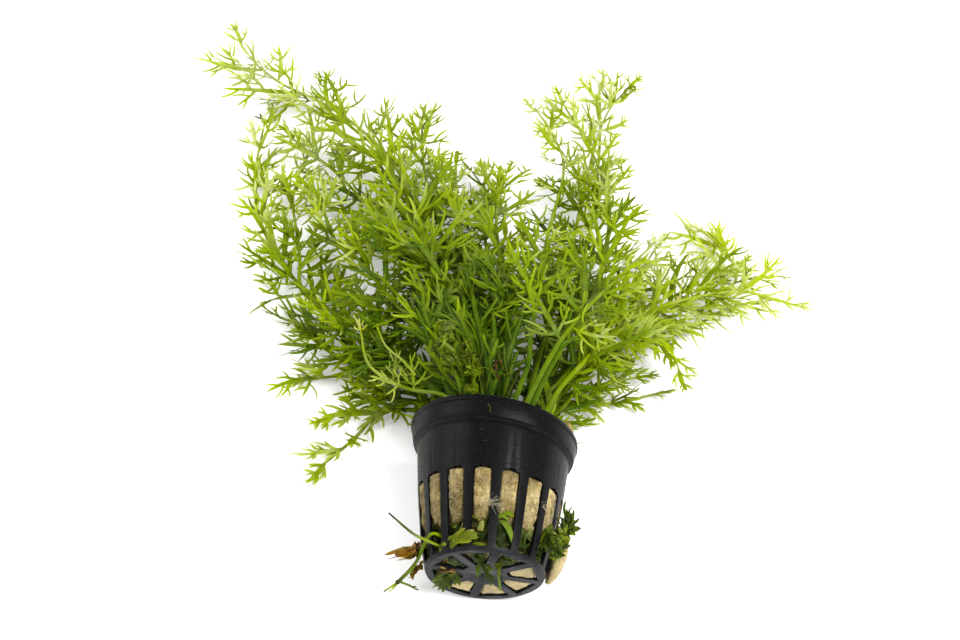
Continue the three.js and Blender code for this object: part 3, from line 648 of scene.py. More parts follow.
STEEP = 0.9


def tube(shape, points, radii, tones, sides=8):
    """A closed tube along a path."""
    count = len(points)
    along = directions(points)
    side = np.array([1, 0, 0]) if abs(along[0][0]) < STEEP else np.array([0, 1, 0])
    across = []
    for row in along:
        side = unit(side - row * np.dot(side, row))
        across.append(side)
    across = np.array(across)
    up = np.cross(along, across)
    angles = (TAU * np.arange(sides) / sides)[None, :, None]
    radii, tones = np.broadcast_to(radii, count), np.broadcast_to(tones, count)
    spokes = across[:, None] * np.cos(angles) + up[:, None] * np.sin(angles)
    corners = points[:, None] + spokes * radii[:, None, None]
    all_points = np.concatenate([corners.reshape(-1, 3), points[[0, -1]]])
    all_tones = np.concatenate([np.repeat(tones, sides), tones[[0, -1]]])
    shape.add(all_points, closed_rings(count, sides), all_tones)


# Leaf segments: ribbons that are thickest along their middle and end in a point.
SEGMENT_STATIONS = np.array([0, 0.2, 0.42, 0.66, 0.88, 1])
RIB_PROFILE = np.array([0.42, 0.85, 1, 0.76, 0.52])
LOBE_PROFILE = np.array([1, 1, 0.92, 0.8, 0.56])
SEGMENT_HALF_THICKNESS = 0.13
LOWEST_LEAF = 0.35
POINT_RIB = 0.3
RINGS = len(RIB_PROFILE)
CORNERS = 4 * RINGS + 1


def segments(shape, paths, flats, widths, tones):
    """Adds ribbons along paths with a point at each station. flats are the directions that they face,
    and widths are given at each station but the last."""
    count = len(paths)
    along = directions(paths)
    across = np.cross(flats[:, None], along)
    across /= np.linalg.norm(across, axis=2)[..., None]
    up = np.cross(along, across)
    half = widths[..., None] / 2
    ridge = SEGMENT_HALF_THICKNESS * np.minimum(1, half * 2)
    body, across, up = paths[:, :RINGS], across[:, :RINGS], up[:, :RINGS]
    corners = [body - across * half, body + up * ridge, body + across * half, body - up * ridge]
    rings = np.stack(corners, axis=2).reshape(count, 4 * RINGS, 3)
    points = np.concatenate([rings, paths[:, RINGS:]], axis=1)
    points[..., 2] = np.maximum(points[..., 2], LOWEST_LEAF)
    sides, foot, _ = capped_rings(RINGS, 4)
    quads = np.concatenate([sides, foot])
    ids = ring_ids(RINGS, 4)[-1]
    tip = np.column_stack([ids[:-1], ids[1:], np.full(4, CORNERS - 1)])
    base = (np.arange(count) * CORNERS)[:, None, None]
    faces = [(base + quads).reshape(-1, 4), (base + tip).reshape(-1, 3)]
    all_tones = np.concatenate([np.repeat(tones[:, :RINGS], 4, axis=1), tones[:, RINGS:]], axis=1)
    ribs = np.tile([0, 1, 0, 1] * RINGS + [POINT_RIB], count)
    shape.add(points.reshape(-1, 3), faces, all_tones.ravel(), ribs, False)


# A leaflet's segments: widths and lengths in millimetres, angles in degrees, bends in radians, and the
# rest in shares.
RIB_WIDTH = 2.7
LOBE_WIDTH = 1.62
FORK_WIDTH = 1.28
STRAP_WIDTH = 2.3
RIB_BEND = 0.7
STRAP_BEND = 0.6
LOBE_BEND = (0.2, 1.5)
FORK_BEND = (0.5, 1.3)
BARE_FOOT = 0.13
LOBE_SLANT = (1.0, 1.7)
FORK_ANGLES = (26, 50)
FORK_START = 0.85
FORK_SPREAD = (0.2, 0.8)
FORK_SIZE = (0.85, 1.3)
SHORTEST_FORK = 3.2
FORKED_FROM = 4.6
TWO_FORKS_FROM = 9.0
RIB_FORKS = (0.55, 0.82)
LOBE_FORKS = (0.2, 0.65)
STRAP_FORKS = (0.35, 0.8)
FEWEST_LOBES = 4
MORE_LOBES = [(0.84, 0.17), (0.8, -0.19)]
LOBE_DEPTH = 0.3
FORK_DEPTH = 0.6


class LeafPlan:
    """The segments of one leaflet in its own plane, in millimetres."""

    def __init__(self, broad, seed):
        self.random = np.random.default_rng(seed)
        self.broad = broad
        self.rows = []

    def grow(self, start, end, bend, widths, depth):
        """A segment from start to end whose heading falls by the bend on its way."""
        run = np.asarray(end, float) - start
        heading = math.atan2(run[1], run[0])
        middles = (SEGMENT_STATIONS[1:] + SEGMENT_STATIONS[:-1]) / 2
        headings = heading + bend * (0.5 - middles)
        steps = np.column_stack([np.cos(headings), np.sin(headings)]) * np.diff(SEGMENT_STATIONS)[:, None]
        path = np.concatenate([[[0, 0]], np.cumsum(steps, axis=0)])
        path *= np.linalg.norm(run) / np.linalg.norm(path[-1])
        path += start
        self.rows.append((path, widths * self.broad, depth))
        return path

    def rib(self, reach, most_bend, width):
        bend = self.random.uniform(-most_bend, most_bend)
        return self.grow(np.zeros(2), (reach, 0), bend, width * RIB_PROFILE, 0)

    def fork(self, path, share, angle, length):
        """A segment that leaves a path at a share of it and an angle, and sweeps forward again."""
        k = max(0, int(np.searchsorted(SEGMENT_STATIONS, share)) - 1)
        span = SEGMENT_STATIONS[k + 1] - SEGMENT_STATIONS[k]
        start = mix(path[k], path[k + 1], (share - SEGMENT_STATIONS[k]) / span)
        run = path[k + 1] - path[k]
        heading = math.atan2(run[1], run[0]) + angle * FORK_START
        end = start + np.array([math.cos(heading), math.sin(heading)]) * length
        self.grow(start, end, angle * self.random.uniform(*FORK_BEND), FORK_WIDTH * LOBE_PROFILE, FORK_DEPTH)

    def forks(self, path, first, last):
        """Forks on alternate sides of a path, between two shares of it."""
        random = self.random
        length = np.linalg.norm(path[-1] - path[0])
        count = int(length > FORKED_FROM) + int(length > TWO_FORKS_FROM)
        way = random.choice([-1, 1])
        for i in range(count):
            share = mix(first, last, (i + random.uniform(*FORK_SPREAD)) / count)
            size = max(length * (1 - share) * random.uniform(*FORK_SIZE), SHORTEST_FORK)
            self.fork(path, share, way * random.uniform(*FORK_ANGLES) * DEG, size)
            way = -way


def leaf_plan(reach, form, broad, seed):
    """The segments of a leaflet that reach the tips of its form, with smaller ones between them."""
    plan = LeafPlan(broad, seed)
    random = plan.random
    rib = plan.rib(reach, RIB_BEND, RIB_WIDTH)
    sides = [(u, v) for u, v in form[1::2] if v != 0]
    if len(sides) < FEWEST_LOBES:
        sides += MORE_LOBES
    for u, v in sides:
        foot = max(BARE_FOOT, u - random.uniform(*LOBE_SLANT) * abs(v)) * reach
        start = np.array([foot, np.interp(foot, rib[:, 0], rib[:, 1])])
        bend = math.copysign(random.uniform(*LOBE_BEND), v)
        lobe = plan.grow(start, np.array([u, v]) * reach, bend, LOBE_WIDTH * LOBE_PROFILE, LOBE_DEPTH)
        plan.forks(lobe, *LOBE_FORKS)
    plan.forks(rib, *RIB_FORKS)
    return plan


def strap_plan(reach, broad, seed):
    """A long plain blade with a fork or two, as the leaflets are near the foot of a frond."""
    plan = LeafPlan(broad, seed)
    plan.forks(plan.rib(reach, STRAP_BEND, STRAP_WIDTH), *STRAP_FORKS)
    return plan


# How a leaflet leaves its plane, and how its green varies.
ARCH = (-0.5, 0.5)
CUP = (-0.5, 0.9)
FORK_LIFT = 0.08
SEGMENT_ROLL = 35
# The spread of tones per leaflet and per segment is partly the green's own variation and partly painted
# highlight: some are painted paler, as if lit.
LEAF_TONES_AND_HIGHLIGHTS = (-0.12, 0.14)
SEGMENT_TONES_AND_HIGHLIGHTS = (-0.07, 0.09)
DEPTH_TONE = 0.12
POINT_TONE = 0.13


def grow_leaf(shape, leaf, plan, tone):
    """Adds a leaflet: its plan, arched out of its plane, with each segment turned on itself a little."""
    random = plan.random
    paths, widths, depths = (np.array([row[i] for row in plan.rows]) for i in range(3))
    count = len(paths)
    normal = np.cross(leaf.along, leaf.across)
    u, v = paths[..., 0] / leaf.reach, paths[..., 1] / leaf.reach
    arch, cup = random.uniform(*ARCH), random.uniform(*CUP)
    lift = (arch * u * (1 - u) + cup * v * v) * leaf.reach
    forked = (depths > LOBE_DEPTH)[:, None]
    lift += random.uniform(-FORK_LIFT, FORK_LIFT, (count, 1)) * SEGMENT_STATIONS ** 2 * leaf.reach * forked
    spots = leaf.root + leaf.along * paths[..., :1] + leaf.across * paths[..., 1:] + normal * lift[..., None]
    rolls = random.uniform(-SEGMENT_ROLL, SEGMENT_ROLL, count) * DEG * (0.4 + depths)
    runs = paths[:, -1] - paths[:, 0]
    runs /= np.linalg.norm(runs, axis=1)[:, None]
    sideways = leaf.across * runs[:, :1] - leaf.along * runs[:, 1:]
    flats = normal * np.cos(rolls)[:, None] + sideways * np.sin(rolls)[:, None]
    # Random tones per leaflet and per segment: partly own variation, partly painted highlight.
    tones = tone + random.uniform(*LEAF_TONES_AND_HIGHLIGHTS) + DEPTH_TONE * depths[:, None] + POINT_TONE * SEGMENT_STATIONS
    segments(shape, spots, flats, widths, tones + random.uniform(*SEGMENT_TONES_AND_HIGHLIGHTS, (count, 1)))


# Fronds. Steps are in millimetres along the stalk.
FOOT_BREADTH = 1.05
TIP_BREADTH = 0.7
STRAP_STEP = 3.4
STRAP_STEPS = {"centre": 1.6, "right_crest": 1.7, "right_mid": 1.8, "left_centre": 2.2, "right_low": 1.8}
STRAP_ANGLES = (8, 26)
STRAP_SIZE = (0.6, 1.05)
STRAPS_FROM = 0.1
STRAPS_BELOW_BARE = 0.06
NO_STRAPS = {"left_bottom", "pale_shoot", "right_floor"}
BARE_ABOVE = 20
BARE_RIGHT_OF = 12
SMALL_LEAF_STEP = 7.0
SMALL_LEAF_STEPS = {
    "tall_right": 11, "upright_right": 8, "hooked_tip": 9, "right_crest": 13, "right_floor": 14,
    "right_low": 18, "right_mid": 17, "left_bottom": 12, "left_floor": 14, "left_tongue": 13,
    "low_left": 10, "pale_shoot": 60, "top_left": 8, "outer_left": 12.5, "bright_right": 12,
    "right_drop": 14, "centre": 4.4, "left_centre": 4.6, "left_inner": 9.5, "left_arch": 7.5,
    "upright_left": 5.4, "far_right": 5, "right_hook": 6, "centre_left": 5.5, "centre_right": 5.5,
}
SMALL_LEAF_TO = 0.96
SMALL_CROWDING = 1.45
SMALL_FORM = np.array([[0, 0], [0.46, 0.36], [0, 0], [0.8, 0.2], [0, 0], [0.74, -0.22], [0, 0], [0.4, -0.36]])
SMALL_ANGLES = (0.5, 0.95)
SMALL_SIZE = (0.8, 1.2)
SMALL_TWIST = 0.7
SMALL_TIP_SHARE = 0.72
LONG_TIPS = {"top_left": 1.05, "far_right": 1.0, "right_hook": 0.95, "left_bottom": 1.3}
RIGHT_SHARE = {
    "top_left": 0.25, "outer_left": 0.8, "tall_right": 0.25, "right_crest": 0.25, "hooked_tip": 0.2,
    "upright_right": 0.25, "right_hook": 0.15, "far_right": 0.75, "right_low": 0.8, "right_drop": 0.75,
}
SIDE_TURN = 0.618
SIDE_START = 0.3
STALK_FINENESS = 0.85
STALK_FINE_STEP = 3
FEWEST_STALK_STEPS = 8
STALK_TAPER = 1.5
STALK_SLENDER = 0.4
SLENDER = {
    "pale_shoot": 0.5, "left_bottom": 1.2, "bright_right": 0.72, "far_right": 0.85, "tall_right": 0.85,
    "hooked_tip": 0.8, "upright_right": 0.85, "right_crest": 0.85,
}
LEAF_TONE = 0.34
TONE_RANGE = 0.55
TIP_TONE = 0.42
STALK_TONE = 0.1
# Painted shade: the small leaves between the main ones are painted a little darker.
SMALL_LEAF_SHADE = -0.06


def frond_tone(owner, share):
    """How yellow and light a frond's green is at a share of its length; middle fronds get painted shade."""
    return LEAF_TONE + TONE_RANGE * (FRONDS[owner].yellow - 0.55) + TIP_TONE * (share - 0.5)


def small_leaves(points, owner):
    """Leaflets between the main ones, and straps below them, which only miss the pot and the table."""
    name, _, reach, bare, _, path = FRONDS[owner]
    random = np.random.default_rng(1000 + owner)
    length = np.linalg.norm(np.diff(points, axis=0), axis=1).sum()
    roll = (chance(owner, 1) - 0.5) * ROLL_RANGE
    covered = path[0][0] < BARE_RIGHT_OF or path[0][2] < BARE_ABOVE
    start = STRAPS_FROM if covered else bare - STRAPS_BELOW_BARE
    strap_count = 0 if name in NO_STRAPS else int(length * (bare - start) / STRAP_STEPS.get(name, STRAP_STEP))
    leaf_count = int(length * (SMALL_LEAF_TO - bare) / SMALL_LEAF_STEPS.get(name, SMALL_LEAF_STEP))
    for i in range(strap_count + leaf_count):
        place = random.uniform(0.1, 0.9)
        if i < strap_count:
            share = mix(start, bare, (i + place) / strap_count)
            angle = random.uniform(*STRAP_ANGLES) * DEG
            size = reach * random.uniform(*STRAP_SIZE)
            form = None
        else:
            share = mix(bare, SMALL_LEAF_TO, ((i - strap_count + place) / leaf_count) ** SMALL_CROWDING)
            grown = (share - bare) / (1 - bare)
            angle = mix(FOOT_ANGLE, HEAD_ANGLE, grown) * random.uniform(*SMALL_ANGLES)
            size = reach * mix(1.0, LONG_TIPS.get(name, SMALL_TIP_SHARE), grown) * random.uniform(*SMALL_SIZE)
            form = SMALL_FORM
        root, along, side = along_stalk(points, share * (len(points) - 1))
        if (i * SIDE_TURN + SIDE_START) % 1 > RIGHT_SHARE.get(name, 0.5):
            side = -side
        for tilt in (random.uniform(-50, 50), random.uniform(0, 70), 80):
            twist = random.uniform(-SMALL_TWIST, SMALL_TWIST)
            leaf = leaf_at(root, along, side, angle, roll + tilt * DEG, twist, size, form)
            ends = np.array([leaf.point(u, v) for u, v in [*SMALL_FORM[1::2], (1, 0)]])
            rods = rods_between(np.array([leaf.point(0.3, 0)] * len(ends)), ends, LOBE_REACH, owner)
            if ends[:, 2].min() > TABLE_GAP and clear_of_pot(rods):
                yield leaf, share
                break


def frond(owner, stalk, leaves, look):
    """One frond: a stalk, its main leaflets where the solid has them, and the small ones between."""
    name, bare = FRONDS[owner].name, FRONDS[owner].bare
    shape = Shape()
    curve = Spline(stalk)
    steps = max(FEWEST_STALK_STEPS, round(curve.length / STALK_FINE_STEP))
    share = np.linspace(0, 1, steps + 1)
    slender = SLENDER.get(name, 1)
    radii = STALK_FINENESS * mix(STALK_RADIUS, TIP_RADIUS, share ** STALK_TAPER)
    radii *= mix(1, slender, STALK_SLENDER)
    tube(shape, curve.spaced(steps), radii, frond_tone(owner, share) + STALK_TONE)
    rows = [(leaf, mix(bare, 1, place), owner * 100 + k, 0) for k, (leaf, place) in enumerate(leaves)]
    small = enumerate(small_leaves(stalk, owner))
    # The small leaves take their painted shade here.
    rows += [(leaf, place, 5000 + owner * 100 + k, SMALL_LEAF_SHADE) for k, (leaf, place) in small]
    for leaf, place, seed, tone in rows:
        broad = slender * mix(FOOT_BREADTH, TIP_BREADTH, place)
        if leaf.form is None:
            plan = strap_plan(leaf.reach, broad, seed)
        else:
            plan = leaf_plan(leaf.reach, leaf.form, broad, seed)
        grow_leaf(shape, leaf, plan, frond_tone(owner, place) + tone)
    shape.settle(f"fern_{name}", look, "leaf_green", f"frond_{name}")


# Net pot. Its outline is in distances from the axis and heights.
POT_COLUMNS = 192
LIP_OUTLINE = [
    (COLLAR_RADIUS, COLLAR_HEIGHT - 1.3), (COLLAR_RADIUS + 0.3, COLLAR_HEIGHT - 1.0),
    (COLLAR_RADIUS + 0.3, COLLAR_HEIGHT - 0.5), (COLLAR_RADIUS + 0.1, COLLAR_HEIGHT - 0.2),
    (COLLAR_RADIUS + 0.5, COLLAR_HEIGHT), (COLLAR_RADIUS + COLLAR_STEP, COLLAR_HEIGHT + 0.5),
    (COLLAR_RADIUS + COLLAR_STEP + 0.2, COLLAR_HEIGHT + 1.0), (LIP_RADIUS - 0.4, LIP_HEIGHT - 1.3),
    (LIP_RADIUS - 0.45, LIP_HEIGHT - 1.0), (LIP_RADIUS - 0.05, LIP_HEIGHT - 0.6),
    (LIP_RADIUS, LIP_HEIGHT), (LIP_RADIUS - 0.1, POT_HEIGHT - 0.5),
    (LIP_RADIUS - 0.4, POT_HEIGHT - 0.12), (LIP_RADIUS - 0.9, POT_HEIGHT),
    (LIP_RADIUS - LIP_WIDTH + 0.3, POT_HEIGHT - 0.1), (LIP_RADIUS - LIP_WIDTH, POT_HEIGHT - 0.5),
]
POT_OUTLINE = [
    (0, 0.15), (0.5, 0.15), (0.8, 0.5), (1.3, 0.5), (1.6, 0), (BASE_RADIUS - 0.5, 0),
    (BASE_RADIUS - 0.1, 0.25), (wall_radius(FLOOR), FLOOR), (KNEE_RADIUS - 0.15, KNEE_HEIGHT - 1),
    (KNEE_RADIUS + 0.1, KNEE_HEIGHT + 1), (SLOT_TOP_RADIUS, SLOT_TOP), *LIP_OUTLINE,
    (COLLAR_RADIUS - WALL + 0.6, COLLAR_HEIGHT + 0.6), (COLLAR_RADIUS - WALL, COLLAR_HEIGHT),
    (SLOT_TOP_RADIUS - WALL, SLOT_TOP), (KNEE_RADIUS - WALL, KNEE_HEIGHT),
    (wall_radius(FLOOR) - WALL, FLOOR), (0, FLOOR),
]
SLOT_ARCH = 1.1
SLOT_ROUGHNESS = 0.2
SLOT_TOP_STEPS = 14
CUT_CLEARANCE = 0.02
CUT_OUTWARDS = np.array([1.6, 1.6, 1])
CUT_UPWARDS = np.array([0, 0, 3 * FLOOR])
HALF_WINDOW = TAU / WINDOW_COUNT / 2
EDGE_WIDTH = 0.12
EDGE_ANGLE = 50 * DEG
SHARP_ANGLE = 32 * DEG
# Painted sheen: the pot is painted paler towards its base, a painted reflection of the bright table, and on a
# band at the collar's edge, a painted highlight.
PAINTED_SHEEN_BELOW = 14
PAINTED_SHEEN_EDGE = 0.3


def closed_lathe(outline, columns):
    """Points and faces of a turned solid whose outline starts and ends on the axis."""
    outline = np.array(outline, float)
    angles = TAU * np.arange(columns) / columns
    points = polar(outline[1:-1, :1], angles, outline[1:-1, 1:]).reshape(-1, 3)
    ends = polar(0, 0, outline[[0, -1], 1])
    return np.concatenate([points, ends]), closed_rings(len(outline) - 2, columns)


def raw_object(name, points, faces):
    """An object in the pot's own frame and in millimetres, to be worked on before it is placed."""
    mesh = bpy.data.meshes.new(name)
    mesh.from_pydata(points.tolist(), [], [row.tolist() for rows in faces for row in rows])
    work = bmesh.new()
    work.from_mesh(mesh)
    bmesh.ops.recalc_face_normals(work, faces=work.faces)
    work.to_mesh(mesh)
    work.free()
    return add_object(name, mesh)


def slot_cutter(index):
    """A slot reaches from the floor to a top that is arched and a little torn."""
    random = np.random.default_rng(40 + index)
    middle = SLOT_SPIN + TAU / SLOT_COUNT * index
    x = np.linspace(-1, 1, SLOT_TOP_STEPS)
    tops = SLOT_TOP + SLOT_ARCH * (0.4 - np.abs(x) ** 3) + SLOT_ROUGHNESS * random.uniform(-1, 1, len(x))
    angles = middle + np.append(x, [1, -1]) * SLOT_ANGLE / 2
    heights = np.append(tops, [FLOOR + CUT_CLEARANCE] * 2)
    inner = polar(BASE_RADIUS - 2 * WALL, angles, heights)
    return np.concatenate([inner, inner * CUT_OUTWARDS]), capped_rings(2, len(inner))


def window_points(index, reach, across, height):
    """Points at a window of the base, from how far they lie along and across its middle line."""
    middle = WINDOW_SPIN + TAU / WINDOW_COUNT * index
    x = reach * math.cos(middle) - across * math.sin(middle)
    y = reach * math.sin(middle) + across * math.cos(middle)
    return np.stack([x, y, np.full(x.shape, height)], axis=-1)


def window_cutter(index):
    """A window in the base is the wedge between two spokes."""
    reach = np.array([WINDOW_INNER, WINDOW_OUTER, WINDOW_OUTER, WINDOW_INNER])
    half = reach * math.tan(HALF_WINDOW) - SPOKE_WIDTH / 2 / math.cos(HALF_WINDOW)
    corners = window_points(index, reach, half * [-1, -1, 1, 1], -FLOOR)
    return np.concatenate([corners, corners + CUT_UPWARDS]), capped_rings(2, len(corners))


def cut_openings(pot, cutter):
    """The pot's own mesh with the cutter taken away and its edges broken."""
    cut = pot.modifiers.new("openings", "BOOLEAN")
    cut.object = cutter
    cut.operation = "DIFFERENCE"
    cut.solver = "EXACT"
    edge = pot.modifiers.new("edges", "BEVEL")
    edge.width = EDGE_WIDTH
    edge.segments = 1
    edge.limit_method = "ANGLE"
    edge.angle_limit = EDGE_ANGLE
    mesh = bpy.data.meshes.new_from_object(pot.evaluated_get(bpy.context.evaluated_depsgraph_get()))
    pot.modifiers.clear()
    bpy.data.objects.remove(cutter)
    return mesh


def make_pot(look):
    """The pot: a turned shell with its slots and windows cut out, squeezed a little and laid down."""
    pot = raw_object("net_pot", *closed_lathe(POT_OUTLINE, POT_COLUMNS))
    cutters = [slot_cutter(i) for i in range(SLOT_COUNT)] + [window_cutter(i) for i in range(WINDOW_COUNT)]
    mesh = cut_openings(pot, raw_object("cutters", *joined(cutters)))
    pot.data = mesh
    points = np.zeros(3 * len(mesh.vertices), np.float32)
    mesh.vertices.foreach_get("co", points)
    points = points.reshape(-1, 3)
    # Painted sheen: paler low on the pot (painted reflection) and at the collar's edge (painted highlight).
    painted_sheen = np.clip(1 - points[:, 2] / PAINTED_SHEEN_BELOW, 0, 1).astype(np.float32)
    painted_sheen[np.abs(points[:, 2] - COLLAR_HEIGHT) < PAINTED_SHEEN_EDGE] = 1
    mesh.attributes.new("painted_sheen", "FLOAT", "POINT").data.foreach_set("value", painted_sheen)
    placed = (from_pot(squeeze(points)) + SHIFT) * MM
    mesh.vertices.foreach_set("co", placed.astype(np.float32).ravel())
    mesh.polygons.foreach_set("use_smooth", np.ones(len(mesh.polygons), bool))
    mesh.set_sharp_from_angle(angle=SHARP_ANGLE)
    mesh.materials.clear()
    mesh.materials.append(look)
    mesh.update()
    settle(pot, "black_plastic", "pot")


# Stone wool.
WOOL_COLUMNS = 384
WOOL_ROWS = 110
WOOL_BULGE = 1.5
WOOL_FOOT_RADIUS = 14.5
WOOL_TOP_RADIUS = 19.5
BULGE_FROM = 10
LUMP_SIZE = 5
LUMP_HEIGHT = 0.35
GRAIN_SIZE = 1.1
GRAIN_HEIGHT = 0.12
SKIN_DEPTH = 0.2
PAD_STEPS = 40
PAD_SIDES = 40
PAD_SQUARENESS = 0.7
PAD_RELIEF = 0.25
WAD_STEPS = 22
WAD_DEPTH = 1.8
FULL_WINDOWS = range(4)
DAMP_BELOW = 14.5
DAMP_FADE = 7
DAMP_FROM_AXIS = 16.5
FIBRE_COUNT = 2600
FIBRE_RADIUS = 0.04
FIBRE_THINNING = 0.6
FIBRE_STEPS = 6
FIBRE_HEIGHTS = (9, 33)
FIBRE_LIMITS = (3, 35)
FIBRE_HEADING = (1.1, 0.8)
FIBRE_BEND = 0.12
FIBRE_REACH = (2.5, 8)
FIBRE_LIFT = 0.012
FIBRE_BOW = 0.01
STRAY_STEPS = 5
STRAY_HEADING = (0.2, 0.6)
STRAY_REACH = (1.2, 3.8)
STRAY_BOW = 0.6
STRAY_LIFT = 0.5
STRAY_GAP = 0.12

# Threads that stick out of slots: degrees round the pot, height, spread in degrees and number.
STRAY_FIBRES = [(-88, 14.5, 3.6, 44), (-39, 19, 1.4, 8)]

# Pads of wool: distances from the axis and heights, half thicknesses, half widths and the angle.
PADS = [
    ([(19.5, 34), (21.2, 38), (21.6, 43), (22.6, 49), (23.6, 53), (23.4, 56)],
     [1.2, 1.0, 1.0, 2.0, 2.8, 2.2], [4.4, 4.5, 4.5, 4.8, 4.8, 4.2], TONGUE_ANGLE),
    ([(18, 18.7), (21, 18.7), (24, 18.7)], [2.6, 2.6, 2.6], [2.2, 2.2, 2.2], FLAP_ANGLE),
    ([(24.2, 21.4), (24.6, 16.5), (24.0, 11), (22.7, 6), (21.1, 1.2)],
     [1.2, 2.0, 2.3, 2.0, 1.2], [3.8, 4.8, 4.8, 4.6, 3.2], FLAP_ANGLE),
]


def ruggedness(points, size, octaves=4):
    """Smooth random relief at each point, between about -1 and 1, with lumps of a size."""
    return np.array([noise.fractal(Vector(point) / size, 0.9, 2.1, octaves) for point in points])


def slot_middle(angle):
    """How near an angle is to the middle of a slot, from 0 at its edges to 1."""
    turn = (np.asarray(angle) - SLOT_SPIN + TAU / SLOT_COUNT / 2) % (TAU / SLOT_COUNT) - TAU / SLOT_COUNT / 2
    return np.clip(1 - (np.abs(turn) / (SLOT_ANGLE / 2)) ** 14, 0, 1)


def wool_radius(height):
    slack = WALL + GAP + WOOL_SLACK
    heights = [FLOOR + GAP, 9, 14, SLOT_TOP, 34, WOOL_TOP]
    wall = [wall_radius(level) - slack for level in heights[2:5]]
    return np.interp(height, heights, [WOOL_FOOT_RADIUS, 17.2, *wall, WOOL_TOP_RADIUS])


def wool_surface(angle, height):
    """Points on the wad of wool: it bulges into the slots, and its skin is matted."""
    angle, height = np.broadcast_arrays(angle, height)
    radius = wool_radius(height)
    points = polar(radius, angle, height).reshape(-1, 3)
    lumps = LUMP_HEIGHT * np.minimum(ruggedness(points, LUMP_SIZE).reshape(radius.shape), 0.4)
    grain = GRAIN_HEIGHT * ruggedness(points, GRAIN_SIZE, 3).reshape(radius.shape)
    open_part = slot_middle(angle) * (height > BULGE_FROM) * np.clip((SLOT_TOP + 0.4 - height) / 0.8, 0, 1)
    return polar(radius + WOOL_BULGE * open_part + lumps - SKIN_DEPTH + grain, angle, height)


def pad(middle, thicknesses, widths, angle, seed):
    """A rounded pad of wool along a path of distances from the axis and heights."""
    curve = Spline([(reach, 0, height) for reach, height in middle])
    share = np.linspace(0, 1, PAD_STEPS + 1)
    path = curve.spaced(PAD_STEPS)
    out = np.cross([0, 1, 0], directions(path))
    round_off = np.sqrt(np.clip(1 - np.abs(2 * share - 1) ** 8, 0.02, 1))
    thickness, width = (
        (np.interp(share, np.linspace(0, 1, len(row)), row) * round_off)[:, None, None]
        for row in (thicknesses, widths)
    )
    turn = TAU * np.arange(PAD_SIDES) / PAD_SIDES
    c, d = ((np.sign(row) * np.abs(row) ** PAD_SQUARENESS)[:, None] for row in (np.cos(turn), np.sin(turn)))
    rings = path[:, None] + np.array([0, 1, 0]) * (c * width) + out[:, None] * (d * thickness)
    points = rings.reshape(-1, 3)
    relief = np.array([ruggedness(points + 50 * (seed + i), 2.0) for i in range(3)])
    x, y, z = points.T + PAD_RELIEF * relief
    cos, sin = math.cos(angle), math.sin(angle)
    placed = np.column_stack([x * cos - y * sin, x * sin + y * cos, z])
    return from_pot(squeeze(placed)), capped_rings(PAD_STEPS + 1, PAD_SIDES)


def window_wad(index):
    """The wool that swells into a window of the base, down to the level of the base."""
    reaches = np.linspace(WINDOW_INNER + 0.2, WINDOW_OUTER - 0.2, WAD_STEPS)
    reach, across = np.meshgrid(reaches, np.linspace(-1, 1, WAD_STEPS), indexing="ij")
    side = across * (reach * math.tan(HALF_WINDOW) - SPOKE_WIDTH / 2 - 0.1)
    along = 2 * (reach - reach[0, 0]) / (reach[-1, 0] - reach[0, 0]) - 1
    swell = (1 - np.abs(along) ** 8) * (1 - np.abs(across) ** 8)
    top = window_points(index, reach, side, FLOOR + GAP + 0.4).reshape(-1, 3)
    bottom = top.copy()
    bottom[:, 2] -= swell.ravel() * (WAD_DEPTH + 0.3 * ruggedness(bottom, 2.5))
    quads = grid_quads(np.arange(WAD_STEPS ** 2).reshape(WAD_STEPS, WAD_STEPS))
    return from_pot(squeeze(np.concatenate([top, bottom]))), [quads, quads[:, ::-1] + WAD_STEPS ** 2]


def fibres(shape, random):
    """Loose fibres that lie on the wool's skin."""
    t = np.linspace(0, 1, FIBRE_STEPS + 1)
    for _ in range(FIBRE_COUNT):
        angle, height = random.uniform(0, TAU), random.uniform(*FIBRE_HEIGHTS)
        heading, bend = random.normal(*FIBRE_HEADING), random.normal(0, FIBRE_BEND)
        reach = random.uniform(*FIBRE_REACH)
        headings = heading + bend * FIBRE_STEPS * (t - 0.5)
        trail = np.cumsum(np.column_stack([np.cos(headings), np.sin(headings)]) * reach / FIBRE_STEPS, axis=0)
        heights = np.clip(height + trail[:, 1], *FIBRE_LIMITS)
        points = wool_surface(angle + trail[:, 0] / wool_radius(height), heights)
        points[:, :2] *= 1 + (random.uniform(0, FIBRE_LIFT) + FIBRE_BOW * t * (1 - t))[:, None]
        radii = FIBRE_RADIUS * (1 - FIBRE_THINNING * t)
        tube(shape, from_pot(squeeze(points)), radii, random.uniform(0, 1), sides=3)


def stray_fibres(shape, random):
    """Pale clumped threads that stick out of the slots and cross the ribs."""
    t = np.linspace(0, 1, STRAY_STEPS + 1)
    bow = np.sin(math.pi * t)
    for degrees, middle, spread, count in STRAY_FIBRES:
        for _ in range(count):
            angle, height = random.normal(degrees, spread), random.normal(middle, 0.8)
            heading, reach = random.normal(*STRAY_HEADING), random.uniform(*STRAY_REACH)
            angles = (angle + np.degrees(reach * math.cos(heading) / wall_radius(height)) * t) * DEG
            bend = random.uniform(-STRAY_BOW, STRAY_BOW)
            heights = height + reach * math.sin(heading) * t + bend * bow
            radii = wall_radius(heights) + STRAY_GAP + random.uniform(0, STRAY_LIFT) * bow
            thicknesses = FIBRE_RADIUS * (1 - FIBRE_THINNING * t)
            tube(shape, pot_place(radii, angles, heights), thicknesses, random.uniform(0.5, 1), sides=3)


